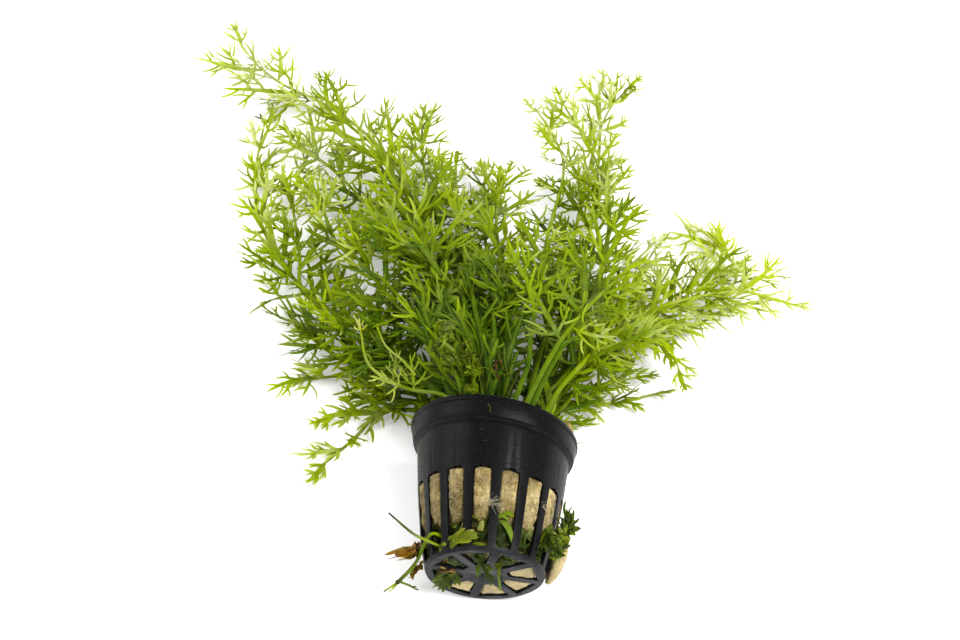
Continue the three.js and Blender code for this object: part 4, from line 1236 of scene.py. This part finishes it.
def make_wool(look, fibre_look):
    """The wad with its loose pads and its swellings in the base windows, and the fibres on it."""
    heights = np.linspace(FLOOR + GAP, WOOL_TOP, WOOL_ROWS)
    angles = TAU * np.arange(WOOL_COLUMNS) / WOOL_COLUMNS
    skin, ends = wool_surface(angles, heights[:, None]).reshape(-1, 3), polar(0, 0, heights[[0, -1]])
    parts = [(from_pot(squeeze(np.concatenate([skin, ends]))), closed_rings(WOOL_ROWS, WOOL_COLUMNS))]
    parts += [pad(*row, seed) for seed, row in enumerate(PADS, 1)]
    parts += [window_wad(index) for index in FULL_WINDOWS]
    points, faces = joined(parts)
    spots = to_pot(points)
    height, from_axis = spots[:, 2], np.linalg.norm(spots[:, :2], axis=1)
    outside = from_axis > wall_radius(height)
    damp = np.clip((DAMP_BELOW - height) / DAMP_FADE + 0.25 * ruggedness(points, 4), 0, 1)
    damp *= (from_axis > DAMP_FROM_AXIS) & ~outside
    # Painted light: the wool that swells into the base windows is painted paler, as if lit by the table; the
    # pads outside the wall are paler too.
    pale = 1.0 * ((height < FLOOR + GAP) & (from_axis < DAMP_FROM_AXIS)) + 0.7 * outside
    wool = add_mesh("wool_wad", points, faces, look, [("damp", damp), ("pale", pale)])
    settle(wool, "stone_wool", "stone_wool")
    shape = Shape()
    fibres(shape, np.random.default_rng(7))
    stray_fibres(shape, np.random.default_rng(8))
    shape.settle("wool_fibres", fibre_look, "stone_wool")


# Loose bits of fern that are caught in the pot or lie against it.
STEM_STEP = 0.8
FEWEST_STEM_STEPS = 6
STRIP_TONE = 0.1
CRUMPLED = 1.8
SLOT_BITS = [-117.5, -95, -72.5, -50, -27.5]
LITTER_COUNT = 320
LITTER_LOW = 1.9
LITTER_HIGH = 11.5
LITTER_DEPTH = 0.3
RAGGED_STEPS = 40
UNDER_BASE = -GAP - 0.6


def at(radius, degrees, height):
    return pot_place(radius, degrees * DEG, height)


def outwards(degrees):
    """The way out of the pot at an angle."""
    return polar(1, degrees * DEG, 0) @ POT_FRAME


def loose_leaf(root, towards, flat, reach, form):
    along = unit(np.subtract(towards, root))
    return Leaf(np.array(root, float), along, unit(np.cross(flat, along)), reach, form)


def strip(shape, points, facing, width, tone):
    """A blade along a smooth path through points, which faces one way."""
    path = Spline(points).at(SEGMENT_STATIONS)
    tones = tone + STRIP_TONE * SEGMENT_STATIONS
    segments(shape, path[None], np.array([facing], float), (width * LOBE_PROFILE)[None], tones[None])


def stem(shape, points, radii, tones):
    """A round stem along a smooth path. Radii and tones are given at even steps along it."""
    curve = Spline(points)
    steps = max(FEWEST_STEM_STEPS, round(curve.length / STEM_STEP))
    share = np.linspace(0, 1, steps + 1)
    radii, tones = (np.interp(share, np.linspace(0, 1, len(row)), row) for row in (radii, tones))
    tube(shape, curve.spaced(steps), radii, tones)


def spread_bits(shape, leaf, count, random, width, tone):
    """Short blades strewn over the room of a leaf."""
    normal = np.cross(leaf.along, leaf.across)
    for _ in range(count):
        u, v = random.uniform(-0.05, 0.75), random.uniform(-0.16, 0.16)
        start = leaf.point(u, v) + normal * random.uniform(-1, 1)
        u, v = u + random.uniform(0.05, 0.32), v + random.uniform(-0.25, 0.25)
        end = leaf.point(u, v) + normal * random.uniform(-1, 1)
        middle = (start + end) / 2 + normal * random.uniform(-1.2, 1.2)
        facing = normal + random.uniform(-0.6, 0.6, 3)
        size = width * random.uniform(0.5, 1.2)
        strip(shape, [start, middle, end], facing, size, tone + random.uniform(-0.4, 0.3))


def ragged(shape, points, count, spread, width, tones, seed):
    """Short crumpled blades round a path."""
    random = np.random.default_rng(seed)
    path = Spline(points).spaced(RAGGED_STEPS)
    for _ in range(count):
        place = path[random.integers(0, RAGGED_STEPS - 2)]
        ends = place + random.normal(0, spread, (3, 3))
        strip(shape, ends, random.uniform(-1, 1, 3), width * random.uniform(0.6, 1.3), random.uniform(*tones))


def make_stems(look):
    """Two green stems that cross on the left of the pot, and one that lies on its base."""
    shape = Shape()
    upper = [at(18.4, -139, 3.4), at(23.4, -143, 4.4), [-22.6, -103, 18], [-29.7, -91.8, 12]]
    stem(shape, upper, [0.42, 0.5, 0.46, 0.4, 0.26], [0.5, 0.62, 0.5, 0.42, 0.3, 0.3, 0.02])
    shape.settle("stem_upper", look, "leaf_green", "trapped_stem_upper")
    shape = Shape()
    node = np.array([-26, -117, 10], float)
    fork = loose_leaf(node, [-20.5, -116, 4], [0.3, 1, 0.4], 9, THREE_LOBES)
    bend = [fork.root, fork.point(0.4, -0.1), fork.point(0.7, -0.04), fork.point(1, 0)]
    side = [fork.point(0.66, -0.05), fork.point(0.56, -0.2), fork.point(0.54, -0.36)]
    lower = [at(18.4, -137, 6.6), at(21.6, -141, 6.8), [-20.5, -117.5, 21], node]
    rows = [
        (lower, [0.45, 0.62, 0.62, 0.6], [0.72, 0.4, 0.36, 0.4, 0.42, 0.1]),
        ([node - [0.1, 0, 0.3], node, node + [-0.8, 0.2, -1.2]], [0.45, 0.85, 0.4], [0.3, 0.02, 0.3]),
        ([node, [-28, -116.2, 6.4], [-31, -115, 1.2]], [0.5, 0.36, 0.3], [0.3, 0.85, 0.75, 0.15]),
        ([node, [-28.4, -117.2, 5.4], [-29.6, -116.4, 2.6]], [0.4, 0.28, 0.12], [0.3, 0.9, 0.7]),
        (bend, [0.42, 0.36, 0.34, 0.2], [0.4, 0.45, 0.4, 0.1]),
        (side, [0.32, 0.26, 0.16], [0.4, 0.1]),
    ]
    for row in rows:
        stem(shape, *row)
    shape.settle("stem_lower", look, "leaf_green", "trapped_stem_lower")
    shape = Shape()
    lying = [at(9.6, -63, UNDER_BASE), at(4.6, -15, UNDER_BASE), at(9.9, 60, UNDER_BASE)]
    stem(shape, lying, [0.62, 0.5, 0.42], [0.2, 0.3, 0.4])
    strip(shape, [at(10, -66, 0.4), at(9, -58, UNDER_BASE), at(6, -30, UNDER_BASE)], outwards(-90), 2.2, 0.1)
    shape.settle("stem_on_base", look, "leaf_green", "base_stem")


def make_dead_leaf(look):
    """A dead brown leaf, folded and curled, out of a slot on the left."""
    random = np.random.default_rng(11)
    shape = Shape()
    leaf = loose_leaf(at(20.4, -163, 5), [-36, -109, 12], [0.3, 0.2, 1], 17, FIVE_LOBES)
    normal = np.cross(leaf.along, leaf.across)
    for u, v in FIVE_LOBES[1::2]:
        middle = leaf.point(u * 0.5, v * 0.15) + normal * random.uniform(-1, 1.6)
        facing = normal + random.uniform(-0.5, 0.5, 3)
        path = [leaf.root, middle, leaf.point(u, v)]
        strip(shape, path, facing, random.uniform(2.0, 3.0), random.uniform(0.15, 0.8))
    for _ in range(12):
        start = leaf.point(random.uniform(0, 0.4), random.uniform(-0.12, 0.16))
        end = leaf.point(random.uniform(0.3, 0.75), random.uniform(-0.3, 0.3))
        end += normal * random.uniform(-2, 2)
        middle = (start + end) / 2 + normal * random.uniform(-CRUMPLED, CRUMPLED)
        facing, width = random.uniform(-1, 1, 3), random.uniform(1.2, 2.6)
        strip(shape, [start, middle, end], facing, width, random.uniform(0, 0.9))
    turn = np.linspace(0, 1.3 * math.pi, 7)
    curl = np.outer(np.cos(turn) * 2.2, leaf.along) + np.outer(np.sin(turn) * 2.2, leaf.across)
    stem(shape, leaf.point(0.42, 0.1) + curl + normal, [0.5, 0.7, 0.6, 0.3], [0.3, 0.5, 0.2])
    ragged(shape, [[-16.3, -107.7, 9], [-20, -109.5, 7], [-23, -111.5, 4]], 16, 0.9, 1.7, (0, 0.6), 64)
    shape.settle("dead_brown_leaf", look, "dead_brown", "dead_leaf")


def make_tufts(look):
    """Matted leaf bits outside the slots on the right, and leaves that stick out of the base."""
    rows = [
        ("tuft_upper", at(21.9, -5, 9), at(26.6, -5, 22), at(30, -5, 9), 15, FIVE_LOBES, 120, 0.3),
        ("tuft_lower", at(21.2, -27.5, 12), at(25.5, -24, 2), at(30, -27.5, 12), 11, THREE_LOBES, 40, 0.5),
        ("window_leaf_left", at(9.5, -172, 0.5), at(15.5, 154, -1.6), -POT_AXIS, 12, FIVE_LOBES, 5, 1.05),
        ("window_leaf_middle", at(11, -99, 0.4), at(7, -70, -4), [0, -1, 0.2], 9, THREE_LOBES, 3, 0.5),
    ]
    for k, (name, root, towards, flat, reach, form, count, broad) in enumerate(rows):
        random = np.random.default_rng(60 + k)
        shape = Shape()
        leaf = loose_leaf(root, towards, flat, reach, form)
        grow_leaf(shape, leaf, leaf_plan(reach, form, broad, 70 + k), 0.3)
        spread_bits(shape, leaf, count, random, 1.7, 0.5)
        if name == "tuft_upper":
            for end in ([31.2, -104.8, 24], [30.3, -106.3, 20]):
                start = leaf.point(0.3, 0.05)
                stem(shape, [start, (start + end) / 2 + [0, 0.5, 1], end], [0.16, 0.12, 0.06], [0.5, 0.8])
        shape.settle(f"leaf_bits_{name}", look, "leaf_dark", name)


def litter_bit(shape, random):
    """A leaf bit that lies between the wool's foot and the wall, or in the opening of a slot."""
    t = np.linspace(0, 1, 4)
    reach, heading = random.uniform(2.5, 7), random.uniform(0, TAU)
    height, degrees = random.uniform(LITTER_LOW, LITTER_HIGH - 1), random.uniform(-180, 180)
    heights = np.clip(height + math.sin(heading) * reach * t, LITTER_LOW, LITTER_HIGH)
    angles = degrees * DEG + math.cos(heading) * reach * t / BASE_RADIUS
    depth = random.uniform(LITTER_DEPTH, 2.6) + random.uniform(-1, 1) * np.sin(math.pi * t)
    inside = wall_radius(heights) - WALL
    radii = np.minimum(inside - np.maximum(depth, LITTER_DEPTH), WOOL_TOP_RADIUS)
    radii = np.maximum(radii, np.minimum(wool_radius(heights) + 0.25, inside - LITTER_DEPTH))
    facing = outwards(degrees) + random.uniform(-0.7, 0.7, 3)
    width = random.uniform(0.7, 2.4)
    strip(shape, pot_place(radii, angles, heights), facing, width, random.uniform(0, 1) ** 1.6)


def make_litter(look):
    """Dark wet leaf bits round the foot of the wool, behind the slots."""
    random = np.random.default_rng(21)
    shape = Shape()
    for i, degrees in enumerate(SLOT_BITS):
        root, towards = at(16.4, degrees, 2.4), at(18.6, degrees, 9.8)
        across = unit(np.cross(at(30, degrees, 2.4) - root, towards - root))
        flat = np.cross(towards - root, across)
        reach = mix(7.4, 8.6, chance(i, 3))
        leaf = loose_leaf(root, towards, flat, reach, THREE_LOBES)
        grow_leaf(shape, leaf, leaf_plan(reach, THREE_LOBES, 0.9, 80 + i), 0.3)
    for _ in range(LITTER_COUNT):
        litter_bit(shape, random)
    nodes = [f"slot_leaf_{i + 1}" for i in range(len(SLOT_BITS))]
    shape.settle("slot_litter", look, "leaf_dark", *nodes)


# Fresh and pale blades in the slots: their path as distances from the axis, degrees and heights, then
# width and tone.
SLOT_BLADES = [
    ([(19.2, -76, 11), (20.4, -71, 8.5), (20.2, -66, 5.5), (18.6, -61, 2.6)], 2.3, 0.34),
    ([(19.4, -81, 12.6), (21, -74, 12.8), (21.4, -66, 11.6)], 2.2, 0.3),
    ([(19.6, -84, 10.8), (20.8, -76, 11.6), (20.6, -70, 10.4)], 1.6, 0.3),
    ([(18.4, -131, 4.6), (20.2, -124, 4.2), (20.9, -116, 4.4)], 1.6, 0.2),
    ([(18.2, -136, 5), (20.0, -131, 3), (20.2, -126, 2.2)], 1.8, 0.3),
    ([(18.6, -33, 4), (20.2, -36, 6.4), (20.0, -40, 8.6)], 1.8, 0.3),
    ([(19.6, -30, 8), (21.2, -27, 12), (21.6, -25, 15)], 2.4, 0.18),
    ([(20.2, -22, 16), (22, -24, 18.5), (22.2, -28, 20.5)], 2.2, 0.2),
    ([(20.2, -26, 12), (22, -23, 14.5), (21.6, -18, 16)], 2.0, 0.14),
]

# A broad olive leaf in a slot on the left, in the same way.
OLIVE_BLADES = [
    ([(19.0, -126, 2.2), (20.6, -114, 3.4), (21.2, -104, 4.2), (21.0, -96, 4.4)], 3.4, 0.66),
    ([(20.2, -118, 3.0), (21.0, -110, 2.6), (20.8, -101, 2.0)], 2.6, 0.74),
    ([(20.0, -121, 3.4), (21.0, -113, 5.2), (21.2, -107, 6.4)], 1.6, 0.8),
    ([(19.8, -116, 3.6), (20.9, -107, 5.0), (21.2, -99, 5.6)], 1.4, 0.85),
    ([(20.0, -112, 2.4), (20.9, -104, 3.0), (21.2, -95, 3.2)], 1.5, 0.7),
]


def make_slot_blades(fresh, olive):
    for name, rows, look in (("slot_blades", SLOT_BLADES, fresh), ("olive_blades", OLIVE_BLADES, olive)):
        shape = Shape()
        for points, width, tone in rows:
            strip(shape, [at(*point) for point in points], outwards(points[1][1]), width, tone)
        shape.settle(name, look, "leaf_green")


def base_bit(random, slant, *ranges):
    """The path of a leaf bit in the base, from the ranges of its points, and the way that it faces."""
    spots = [at(*[random.uniform(*limits) for limits in ranges]) for _ in range(3)]
    return spots, -POT_AXIS + random.uniform(-slant, slant, 3)


def make_window_bits(green, brown):
    """What shows in the windows of the base: green leaves on the left, and a brown one."""
    random = np.random.default_rng(31)
    shape = Shape()
    for middle, count in ((-190, 9), (-145, 7), (-100, 11), (-55, 16)):
        for _ in range(count):
            spots, facing = base_bit(random, 0.5, (8, 15), (middle - 13, middle + 13), (0.3, 1))
            strip(shape, spots, facing, random.uniform(1, 2.4), random.uniform(0.1, 0.6))
    strip(shape, [at(11.5, -98, 0.3), at(7.5, -102, -0.6), at(3.2, -125, -0.7)], -POT_AXIS, 1.4, 0.5)
    shape.settle("window_litter", green, "leaf_dark")
    shape = Shape()
    for _ in range(5):
        spots, facing = base_bit(random, 0.4, (10, 15), (-178, -158), (-0.6, 0.4))
        strip(shape, spots, facing, 2.0, random.uniform(0, 0.7))
    shape.settle("window_brown_bits", brown, "dead_brown")


def make_aged_leaves(look, brown):
    """Two yellowing crumpled leaves and a brown curl in the mouth of the pot."""
    shape = Shape()
    first = [[-5.8, -69.1, 46], [-8, -63.2, 50], [-10, -54.1, 50], [-11.8, -40.7, 48]]
    second = [[-1.9, -69.8, 48], [-2.2, -64, 52], [-3.9, -53.7, 52]]
    for path in (first, second):
        stem(shape, path, [0.6, 0.5, 0.3], [0.3, 0.4])
    ragged(shape, first[1:], 90, 1.5, 1.5, (0.06, 0.46), 61)
    ragged(shape, second, 46, 1.4, 1.5, (0.05, 0.4), 62)
    shape.settle("aged_leaves", look, "leaf_green")
    shape = Shape()
    curl = [[6.4, -68.9, 52], [4.8, -65.6, 54], [5.8, -61.5, 54], [7.4, -64, 54]]
    stem(shape, curl, [0.25, 0.4, 0.35, 0.15], [0.12, 0.02, 0.15])
    ragged(shape, curl, 5, 0.4, 0.8, (0, 0.2), 63)
    shape.settle("brown_curl", brown, "dead_brown")


# Pale stems and threads: radius at foot and tip, tone and path.
THREADS = [
    (0.3, 0.42, 0.66, [[-34.3, -34.6, 38], [-31, -44.4, 40], [-24.8, -52.7, 42], [-21.1, -59.7, 44]]),
    (0.3, 0.22, 0.9,
     [[76.1, 20.2, 12], [74.8, 19.4, 14], [74, 17, 14], [71.2, 4.5, 16], [69.9, -2.4, 16], [71.1, -5.9, 12]]),
    (1.1, 0.6, 1.0, [[69.6, -3.4, 14.4], [69.4, -2.5, 14.4], [69.2, -1.4, 14.4]]),
    (0.4, 0.2, 0.7,
     [[-75.5, 22, 4.4], [-77.6, 23.9, 4.4], [-79.4, 22.6, 4.4], [-78.8, 20.9, 4.4], [-77.6, 21.4, 4.4]]),
    (0.4, 0.2, 0.6,
     [[-36.6, 80.5, 8], [-34.4, 81.4, 8], [-32.8, 83.3, 8], [-34.4, 84.5, 8], [-35.2, 83.2, 8]]),
    (0.07, 0.05, 0.45, [[-9, -62, 48], [-4, -66, 52], [1, -64.5, 54], [5, -66.8, 54]]),
    (0.07, 0.05, 0.45, [[-12, -64, 46], [-9, -60, 50], [-8.5, -66, 52], [-5, -68.5, 52]]),
    (0.07, 0.05, 0.45, [[2, -70, 50], [4, -66, 54], [8, -67.6, 54], [11, -65.8, 54]]),
    (0.07, 0.05, 0.4, [
        at(27.3, -93.4, 46.6), at(27.2, -92.6, 46), at(27.0, -91.6, 45.4), at(26.9, -91.9, 44.6),
        at(26.7, -91.2, 43.9),
    ]),
]


def make_threads(look):
    """Thin pale stems and threads among the fronds."""
    shape = Shape()
    for foot, tip, tone, points in THREADS:
        stem(shape, points, [foot, tip], [tone, tone])
    shape.settle("pale_threads", look, "leaf_green")


def make_fiddlehead(look):
    """The rolled young tip at the end of a frond on the right."""
    shape = Shape()
    foot, tip = np.array([54.2, 103.5, 8]), np.array([61.0, 114.0, 5.5])
    along = unit(tip - foot)
    across = unit(np.cross([0, 0, 1], along))
    turn = np.linspace(0, 1.85 * math.pi, 12)
    width = np.interp(turn, [0, TAU], [1.6, 0.8])
    middle = foot + along * 6.5
    loop = middle + along * (-np.cos(turn) * 3.4)[:, None] + across * (np.sin(turn) * width)[:, None]
    stem(shape, np.concatenate([[foot], loop]), [0.55, 0.6, 0.5, 0.4], [0.5, 0.45, 0.6])
    random = np.random.default_rng(77)
    for place in np.linspace(0.2, 0.8, 9):
        start = middle + along * mix(-2.6, 2.6, place) + across * random.uniform(-0.5, 0.5)
        end = start + across * random.uniform(-1, 1) + along * random.uniform(-0.8, 0.8)
        strip(shape, [start, (start + end) / 2 + [0, 0, 0.5], end], [0, 0, 1], 0.7, random.uniform(0.5, 0.9))
    shape.settle("fiddlehead", look, "leaf_green")


CROWN_RINGS = 14
CROWN_COLUMNS = 72
CROWN_KNOBS = 0.5
STUB_COUNT = 40
STUB_REACH = 15


def make_crown(look):
    """The knobby rootstock, with the stubs of old fronds."""
    random = np.random.default_rng(51)
    reaches = CROWN_RADIUS * np.linspace(0, 1, CROWN_RINGS)[:0:-1]
    rim = [(0, WOOL_TOP + GAP), (CROWN_RADIUS - 0.4, WOOL_TOP + GAP)]
    top = [(reach, crown_height(reach)) for reach in reaches]
    points, faces = closed_lathe([*rim, *top, (0, crown_height(0))], CROWN_COLUMNS)
    knobs = CROWN_KNOBS * np.abs(ruggedness(points, 2.5))
    points[:, 2] -= knobs * (points[:, 2] > WOOL_TOP + 1)
    shape = Shape()
    shape.add(from_pot(squeeze(points)), faces, np.clip(0.5 + 0.4 * ruggedness(points, 3), 0, 1))
    for _ in range(STUB_COUNT):
        radius, angle = STUB_REACH * math.sqrt(random.uniform(0, 1)), random.uniform(0, TAU)
        foot = polar(radius, angle, crown_height(radius) - 0.6)
        top = foot + [*random.uniform(-1.2, 1.2, 2), random.uniform(1.6, 4)]
        stub = from_pot(squeeze([foot, (foot + top) / 2, top]))
        stem(shape, stub, [0.8, 0.7, 0.55], [0.3, 0.7])
    shape.settle("rootstock", look, "rootstock", "crown")


# Materials.
def srgb(red, green, blue):
    """A colour of a photograph, from 0 to 255, as Blender's linear values."""
    values = np.array([red, green, blue]) / 255
    linear = np.where(values <= 0.04045, values / 12.92, ((values + 0.055) / 1.055) ** 2.4)
    return (*linear.tolist(), 1.0)


class Look:
    """A node material under way, with its shader and a short way to add nodes."""

    def __init__(self, name):
        self.material = bpy.data.materials.new(name)
        self.material.use_nodes = True
        self.tree = self.material.node_tree
        self.shader = self.tree.nodes["Principled BSDF"]

    def node(self, kind, **settings):
        node = self.tree.nodes.new(kind)
        for key, value in settings.items():
            setattr(node, key, value)
        return node

    def put(self, value, socket):
        """A value or another node's output goes into a socket."""
        if isinstance(value, (int, float, tuple)):
            socket.default_value = value
        else:
            self.tree.links.new(value, socket)

    def set(self, **values):
        """Values or outputs for the shader's own sockets."""
        for key, value in values.items():
            self.put(value, self.shader.inputs[key.replace("_", " ")])

    def noise(self, scale, detail=4, roughness=0.6, stretch=None):
        """Noise over the object's own place, in features per millimetre."""
        place = self.node("ShaderNodeTexCoord").outputs["Object"]
        if stretch:
            mapping = self.node("ShaderNodeMapping")
            self.put(stretch, mapping.inputs["Scale"])
            self.put(place, mapping.inputs["Vector"])
            place = mapping.outputs["Vector"]
        node = self.node("ShaderNodeTexNoise")
        values = {"Scale": scale / MM, "Detail": detail, "Roughness": roughness, "Vector": place}
        for key, value in values.items():
            self.put(value, node.inputs[key])
        return node.outputs["Fac"]

    def attribute(self, name):
        return self.node("ShaderNodeAttribute", attribute_name=name).outputs["Fac"]

    def math(self, operation, *values):
        node = self.node("ShaderNodeMath", operation=operation)
        for socket, value in zip(node.inputs, values):
            self.put(value, socket)
        return node.outputs[0]

    def scaled(self, value, factor, offset):
        return self.math("MULTIPLY_ADD", value, factor, offset)

    def ramp(self, value, stops):
        """Colours for a value, from rows of a place and a photograph's red, green and blue."""
        node = self.node("ShaderNodeValToRGB")
        elements = node.color_ramp.elements
        while len(elements) < len(stops):
            elements.new(0.5)
        for element, (place, *colour) in zip(elements, stops):
            element.position = place
            element.color = srgb(*colour)
        self.put(value, node.inputs["Fac"])
        return node.outputs["Color"]

    def blend(self, share, a, b):
        node = self.node("ShaderNodeMix", data_type="RGBA")
        for socket, value in ((node.inputs["Factor"], share), (node.inputs[6], a), (node.inputs[7], b)):
            self.put(value, socket)
        return node.outputs[2]

    def bump(self, height, depth):
        """Relief of a depth in millimetres."""
        node = self.node("ShaderNodeBump")
        self.put(depth * MM, node.inputs["Distance"])
        self.put(height, node.inputs["Height"])
        self.set(Normal=node.outputs["Normal"])


SCATTER = (1.0 * MM, 1.2 * MM, 0.2 * MM)


def leaf_look(name, stops, rib_colour):
    """Leaf: its green follows the tone of the mesh, blotched a little, with paler midribs."""
    look = Look(name)
    blotch = look.noise(0.12, 3)
    tone = look.math("ADD", look.attribute("tone"), look.scaled(blotch, 0.3, -0.15))
    green = look.ramp(tone, stops)
    rib = look.math("MULTIPLY", look.math("POWER", look.attribute("rib"), 3.0), 0.24)
    veined = look.blend(rib, green, rib_colour)
    faded = look.node("ShaderNodeHueSaturation")
    look.put(veined, faded.inputs["Color"])
    look.put(look.scaled(look.noise(0.06, 2), -0.9, 1.5), faded.inputs["Saturation"])
    look.set(Base_Color=faded.outputs["Color"], Roughness=look.scaled(look.noise(0.6, 2), 0.25, 0.45))
    look.bump(look.noise(1.5, 3), 0.06)
    look.set(Specular_IOR_Level=0.06, Subsurface_Weight=0.3, Subsurface_Radius=SCATTER, Subsurface_Scale=1.0)
    return look.material


# The palest leaf stops are whitened: partly the pale green of the leaves, partly painted sheen in place of a
# specular highlight.
LEAF_STOPS = [(0, 8, 17, 0), (0.25, 37, 60, 0), (0.5, 94, 113, 9), (0.75, 144, 154, 76), (1, 184, 186, 132)]
LITTER_STOPS = [(0, 10, 14, 2), (0.3, 26, 36, 5), (0.6, 52, 64, 14), (0.85, 90, 96, 36), (1, 124, 122, 66)]
STEM_STOPS = [(0, 40, 28, 10), (0.16, 48, 56, 8), (0.4, 76, 96, 10), (0.7, 120, 130, 42), (1, 178, 176, 108)]
DEAD_STOPS = [(0, 30, 22, 10), (0.3, 74, 49, 22), (0.6, 112, 84, 40), (1, 168, 142, 92)]
ROOT_STOPS = [(0, 34, 26, 10), (0.5, 74, 70, 24), (1, 120, 124, 50)]
FIBRE_STOPS = [(0, 64, 50, 22), (1, 196, 186, 148)]
WOOL_STOPS = [(0.2, 31, 23, 8), (0.4, 88, 73, 34), (0.58, 138, 120, 74), (0.82, 192, 175, 128)]


def plastic_look():
    """Black plastic: soft gloss, a mottled skin, fine scratches and a few specks of dust."""
    look = Look("pot_plastic")
    mottle = look.noise(0.35, 4)
    clean = look.ramp(mottle, [(0.3, 4, 4, 5), (0.7, 9, 9, 10)])
    # Painted sheen: a paler grey low on the pot is a painted reflection, and at the collar's edge a painted
    # highlight.
    painted_sheen = look.math("MULTIPLY", look.attribute("painted_sheen"), look.scaled(mottle, 0.8, 0.5))
    base = look.blend(look.math("POWER", painted_sheen, 4.0), clean, srgb(31, 32, 34))
    specks = look.math("GREATER_THAN", look.noise(2.2, 1, 0.5), 0.76)
    scratches = look.noise(1.2, 2, 0.5, stretch=(0.12, 1, 0.5))
    fine_lines = look.math("GREATER_THAN", look.noise(2.6, 2, 0.5, stretch=(0.07, 1, 1)), 0.73)
    marks = look.math("MAXIMUM", look.math("MULTIPLY", specks, 0.12), look.math("MULTIPLY", fine_lines, 0.07))
    look.set(Base_Color=look.blend(marks, base, srgb(150, 150, 145)), Specular_IOR_Level=0.06)
    look.set(Roughness=look.scaled(scratches, 0.35, 0.22))
    look.bump(look.math("ADD", look.noise(1.3, 4), look.math("MULTIPLY", scratches, 0.6)), 0.05)
    return look.material


def wool_look():
    """Stone wool: matted beige fibres, browner where it is damp, and paler with painted light in the base
    windows.
    """
    look = Look("wool_mat")
    patches = look.noise(0.1, 4)
    rows = [look.noise(1.5, 3, 0.7, stretch=stretch) for stretch in ((0.22, 1, 1), (1, 0.3, 0.3))]
    strands = look.math("MAXIMUM", *rows)
    fibre = look.math("MULTIPLY_ADD", look.noise(0.5, 5, 0.75), 0.5, look.scaled(strands, 1.1, -0.35))
    mat = look.math("MULTIPLY_ADD", fibre, 0.6, look.scaled(patches, 1.15, -0.37))
    dry = look.ramp(mat, WOOL_STOPS)
    damp = look.blend(look.math("MULTIPLY", look.attribute("damp"), 0.75), dry, srgb(62, 54, 24))
    # Painted light: paler in the base windows; paler also outside the wall.
    pale = look.blend(look.math("MULTIPLY", look.attribute("pale"), 0.3), damp, srgb(232, 216, 172))
    look.set(Base_Color=pale, Roughness=0.95, Specular_IOR_Level=0.15)
    look.bump(fibre, 0.5)
    return look.material


def fibre_look():
    look = Look("wool_fibre")
    look.set(Base_Color=look.ramp(look.attribute("tone"), FIBRE_STOPS), Roughness=0.7)
    return look.material


# Floor and light.
FLOOR_SIZE = 3000
FLOOR_STOPS = [(0, 246, 246, 246), (1, 252, 252, 252)]
FLOOR_GLOW = 0.15
WORLD_LIGHT = 0.8


def make_floor():
    corners = np.array([[-1, -1, 0], [1, -1, 0], [1, 1, 0], [-1, 1, 0]]) * FLOOR_SIZE
    look = Look("floor")
    look.set(Base_Color=look.ramp(look.noise(0.01, 2), FLOOR_STOPS), Roughness=0.9)
    look.set(Emission_Color=(1, 1, 1, 1), Emission_Strength=FLOOR_GLOW)
    floor = add_mesh("floor", corners - [0, 0, SHIFT[2]], [np.array([[0, 1, 2, 3]])], look.material)


def area_light(name, place, size, power):
    """A round light that shines on the middle of the plant."""
    data = bpy.data.lights.new(name, "AREA")
    data.shape = "DISK"
    data.size = size * MM
    data.energy = power
    light = add_object(name, data)
    x, y, z = place
    light.location = np.array(place) * MM
    light.rotation_euler = (math.acos(z / np.linalg.norm(place)), 0, math.atan2(y, x) + math.pi / 2)


def make_light():
    world = bpy.data.worlds.new("studio")
    world.use_nodes = True
    background = world.node_tree.nodes["Background"]
    background.inputs["Color"].default_value = (1, 1, 1, 1)
    background.inputs["Strength"].default_value = WORLD_LIGHT
    bpy.context.scene.world = world
    area_light("key", (450, -350, 800), 500, 15)
    area_light("fill", (-700, 100, 500), 600, 5)
    bpy.context.scene.view_settings.view_transform = "Standard"


make_floor()
make_light()

leaf_green = leaf_look("leaf_green_skin", LEAF_STOPS, srgb(140, 160, 30))
leaf_litter = leaf_look("leaf_litter_skin", LITTER_STOPS, srgb(50, 66, 14))
stem_skin = leaf_look("stem_skin", STEM_STOPS, srgb(104, 118, 36))
dead_skin = leaf_look("dead_leaf_skin", DEAD_STOPS, srgb(130, 100, 56))
make_pot(plastic_look())
make_wool(wool_look(), fibre_look())
make_crown(leaf_look("rootstock_skin", ROOT_STOPS, srgb(100, 90, 40)))
make_stems(stem_skin)
make_dead_leaf(dead_skin)
make_tufts(leaf_litter)
make_litter(leaf_litter)
make_slot_blades(stem_skin, leaf_litter)
make_window_bits(leaf_litter, dead_skin)
make_aged_leaves(stem_skin, dead_skin)
make_threads(stem_skin)
make_fiddlehead(stem_skin)
mouths = mouth_points()
paths = [stalk_path(mouth, row.path) for mouth, row in zip(mouths, FRONDS)]
stalks = [lay_stalk(path, owner) for owner, path in enumerate(paths)]
for owner, (stalk, leaves) in enumerate(zip(stalks, all_leaflets(stalks))):
    frond(owner, stalk, leaves, stem_skin if FRONDS[owner].name == "pale_shoot" else leaf_green)
